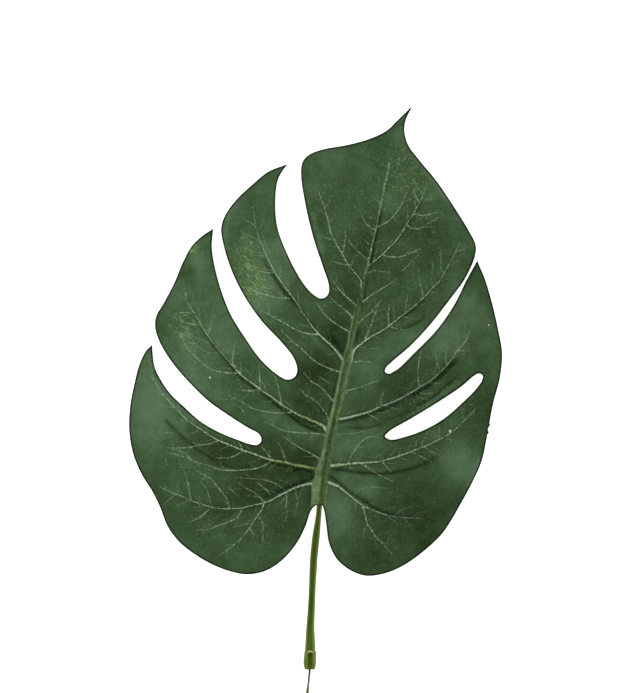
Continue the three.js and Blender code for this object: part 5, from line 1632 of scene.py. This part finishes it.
# Height, growth
rim_levels = [
    (axis, rim), (top_of_rim - 0.25, rim), (top_of_rim - 0.07, rim - 0.1), (top_of_rim, rim - 0.3),
]
window_levels = [(axis - 0.1, -0.1), (top_of_rim - 0.3, 0), (top_of_rim + 1, 0.15)]
rim_rings = [
    np.maximum(level, (-np.inf, COLLAR["end"] + 0.25, -np.inf))
    for level in long_rings(half_width, half_length, rim_levels)
]
join_with(stem, loft("rim", rim_rings), "UNION")
for _, _, points in SIDE_VEINS:
    join_with(stem, loft("side_rib", side_rib_rings(points)), "UNION")
join_with(stem, loft("window", long_rings(half_width, half_length, window_levels)), "DIFFERENCE")
bore = [
    ring((COLLAR["x"], BORE[end], axis), (0, 1), BORE["radius"], BORE["radius"], BORE_SIDES)
    for end in ("from", "to")
]
join_with(stem, loft("bore", bore), "DIFFERENCE")
print("stem:", len(stem.data.polygons), "faces")

# %% [markdown]
# ## Core wire
#
# A steel wire runs inside the stem and keeps the bend it is given. Its tail shows in the window
# and below the collar, with a bead of plastic left from the moulding. It follows the fixed wire
# and is slightly thicker, because the bright ground thins a dark wire in the picture.

# %% Build the wire
WIRE_RADIUS = 0.56
WIRE_SIDES = 16
FIXED_WIRE_SIDES = 8
BEAD = {"y": -93.4, "reach": 1.7, "swell": 0.18}
BLUNT_END, BLUNT_RISE = 0.6, 1.2
# Above this the wire is inside the collar, where fewer rings do
HIDDEN_FROM = -81


def wire_centres(node):
    """The middle line of the fixed wire in drawing millimetres, from its rings of points."""
    points = np.unique(drawing_points(node).round(3), axis=0)
    points = points[points[:, 1].argsort()]
    count = len(points) // FIXED_WIRE_SIDES
    return points[: count * FIXED_WIRE_SIDES].reshape(count, FIXED_WIRE_SIDES, 3).mean(1)


centres = wire_centres(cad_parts["core_wire"])
first_y, last_y = centres[0, 1], centres[-1, 1]
wire_y = np.concatenate((
    first_y + np.array([0, 0.08, 0.25]),
    np.arange(first_y + 0.5, HIDDEN_FROM, 0.4),
    np.arange(HIDDEN_FROM, last_y, 2.5),
))
wire_rings = []
for y in wire_y:
    x, z = (np.interp(y, centres[:, 1], centres[:, k]) for k in (0, 2))
    swell = BEAD["swell"] * math.exp(-(((y - BEAD["y"]) / BEAD["reach"]) ** 4))
    radius = (WIRE_RADIUS + swell) * min(1, BLUNT_END + BLUNT_RISE * (y - first_y))
    wire_rings.append(ring((x, y, z), (0, 1), radius, radius, WIRE_SIDES))
wire = loft("wire", wire_rings)
print("wire from y =", wire_y[0].round(1), "to", wire_y[-1].round(1), "mm in the drawing")

# %% [markdown]
# ## Plastic and wire coating
#
# The plastic is a bright yellow green with a soft shine. Its flanks and the top of the collar's
# rim get painted highlights, a small arch at the window's upper end the palest one, and the
# inside of the window painted light against its shade. The wire is coated in a mottled olive,
# and inside the collar it is painted paler, near the plastic's colour, as painted light.

# %% Materials of the stem and the wire


def near_place(tree, value, centre, half_width, soft):
    """1 where a value in metres lies within half_width (millimetres) of the centre, else 0."""
    off = maths(tree, "ABSOLUTE", maths(tree, "SUBTRACT", value, float(centre)))
    return span(tree, off, (half_width + soft) * MM, (half_width - soft) * MM)


def plastic_material():
    """Moulded plastic, with painted highlights on its flanks, rim and arch, and painted light in the
    window.
    """
    material, shader = new_material("stem_plastic")
    tree = material.node_tree
    x, y, z = three_parts(tree, own_place(tree))
    facing = three_parts(tree, tree.nodes.new("ShaderNodeNewGeometry").outputs["Normal"])["X"]
    cloudy = noise(tree, 5, 3, stretch=(1, 0.3, 1))
    colour = mix(tree, span(tree, cloudy, 0.3, 0.7), paint(56, 80, 8), paint(80, 104, 28))
    upper = span(tree, y, (SHIFT_Y - 40) * MM, (SHIFT_Y - 8) * MM)
    colour = mix(tree, times(tree, upper, 0.6), colour, paint(64, 76, 14))
    # Painted highlight colour for the flanks and the rim's top; the flanks get it by the way they face
    pale = paint(118, 140, 62)
    right, left = span(tree, facing, 0.0, 0.55), span(tree, facing, -0.45, -0.9, 0, 0.85)
    flank = maths(tree, "MAXIMUM", right, left)
    colour = mix(tree, times(tree, flank, 0.85), colour, pale)

    window_x, window_y = (float(place) for place in to_frame((WINDOW["x"], WINDOW["y"], 0))[:2])
    # Painted highlight on the top of the collar's rim
    ridge = span(tree, z, (top_of_rim - 0.4) * MM, (top_of_rim - 0.1) * MM)
    around = near_place(tree, y, window_y, WINDOW["half_length"] + 0.9, 0.2)
    colour = mix(tree, times(tree, ridge, 0.55, around), colour, pale)

    # Painted highlight: the palest arch at the window's upper end
    arch_x = maths(tree, "SUBTRACT", x, window_x)
    arch_y = maths(tree, "SUBTRACT", y, float(to_frame((0, ARCH_HIGHLIGHT["y"], 0))[1]))
    squares = maths(tree, "MULTIPLY_ADD", arch_x, arch_x, times(tree, arch_y, arch_y))
    arch = near_place(tree, maths(tree, "SQRT", squares), ARCH_HIGHLIGHT["radius"] * MM, 0.28, 0.1)
    upper_half = span(tree, arch_y, 0.3 * MM, 0.7 * MM)
    colour = mix(tree, times(tree, arch, upper_half, 0.9), colour, paint(196, 212, 146))

    # Painted light: the inside of the window is painted paler against its shade
    across = near_place(tree, x, window_x, WINDOW["half_width"] + 0.1, 0.1)
    along = near_place(tree, y, window_y, WINDOW["half_length"] + 0.1, 0.1)
    painted_light_in_window = span(tree, z, (top_of_rim - 0.2) * MM, (top_of_rim - 0.6) * MM)
    colour = mix(tree, times(tree, across, along, painted_light_in_window), colour, paint(124, 152, 44))
    finish_surface(tree, shader, colour, bump(tree, noise(tree, 0.8, 2), 0.06), roughness=0.42, shine=0.1)
    return material


def wire_material():
    """Mottled coating, painted paler inside the collar as painted light where the window shades it."""
    material, shader = new_material("coated_wire")
    tree = material.node_tree
    mottle = noise(tree, 0.7, 3, stretch=(1, 0.4, 1))
    colour = mix(tree, span(tree, mottle, 0.3, 0.7), paint(62, 80, 40), paint(98, 116, 66))
    # Painted light: the wire is paler inside the collar, where the window shades it
    y = three_parts(tree, own_place(tree))["Y"]
    end = (COLLAR["end"] + SHIFT_Y) * MM
    colour = mix(tree, span(tree, y, end, end + 0.8 * MM), colour, paint(126, 150, 62))
    finish_surface(tree, shader, colour, bump(tree, mottle, 0.05), roughness=0.5, shine=0.2)
    return material


stem.data.materials.clear()
stem.data.materials.append(plastic_material())
stem.data.polygons.foreach_set("material_index", [0] * len(stem.data.polygons))
wire.data.materials.append(wire_material())
for piece, node, slot in ((stem, "stem", "stem_plastic"), (wire, "core_wire", "coated_wire")):
    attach(piece, "root")
    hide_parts(node)
print("stem and wire are dressed")
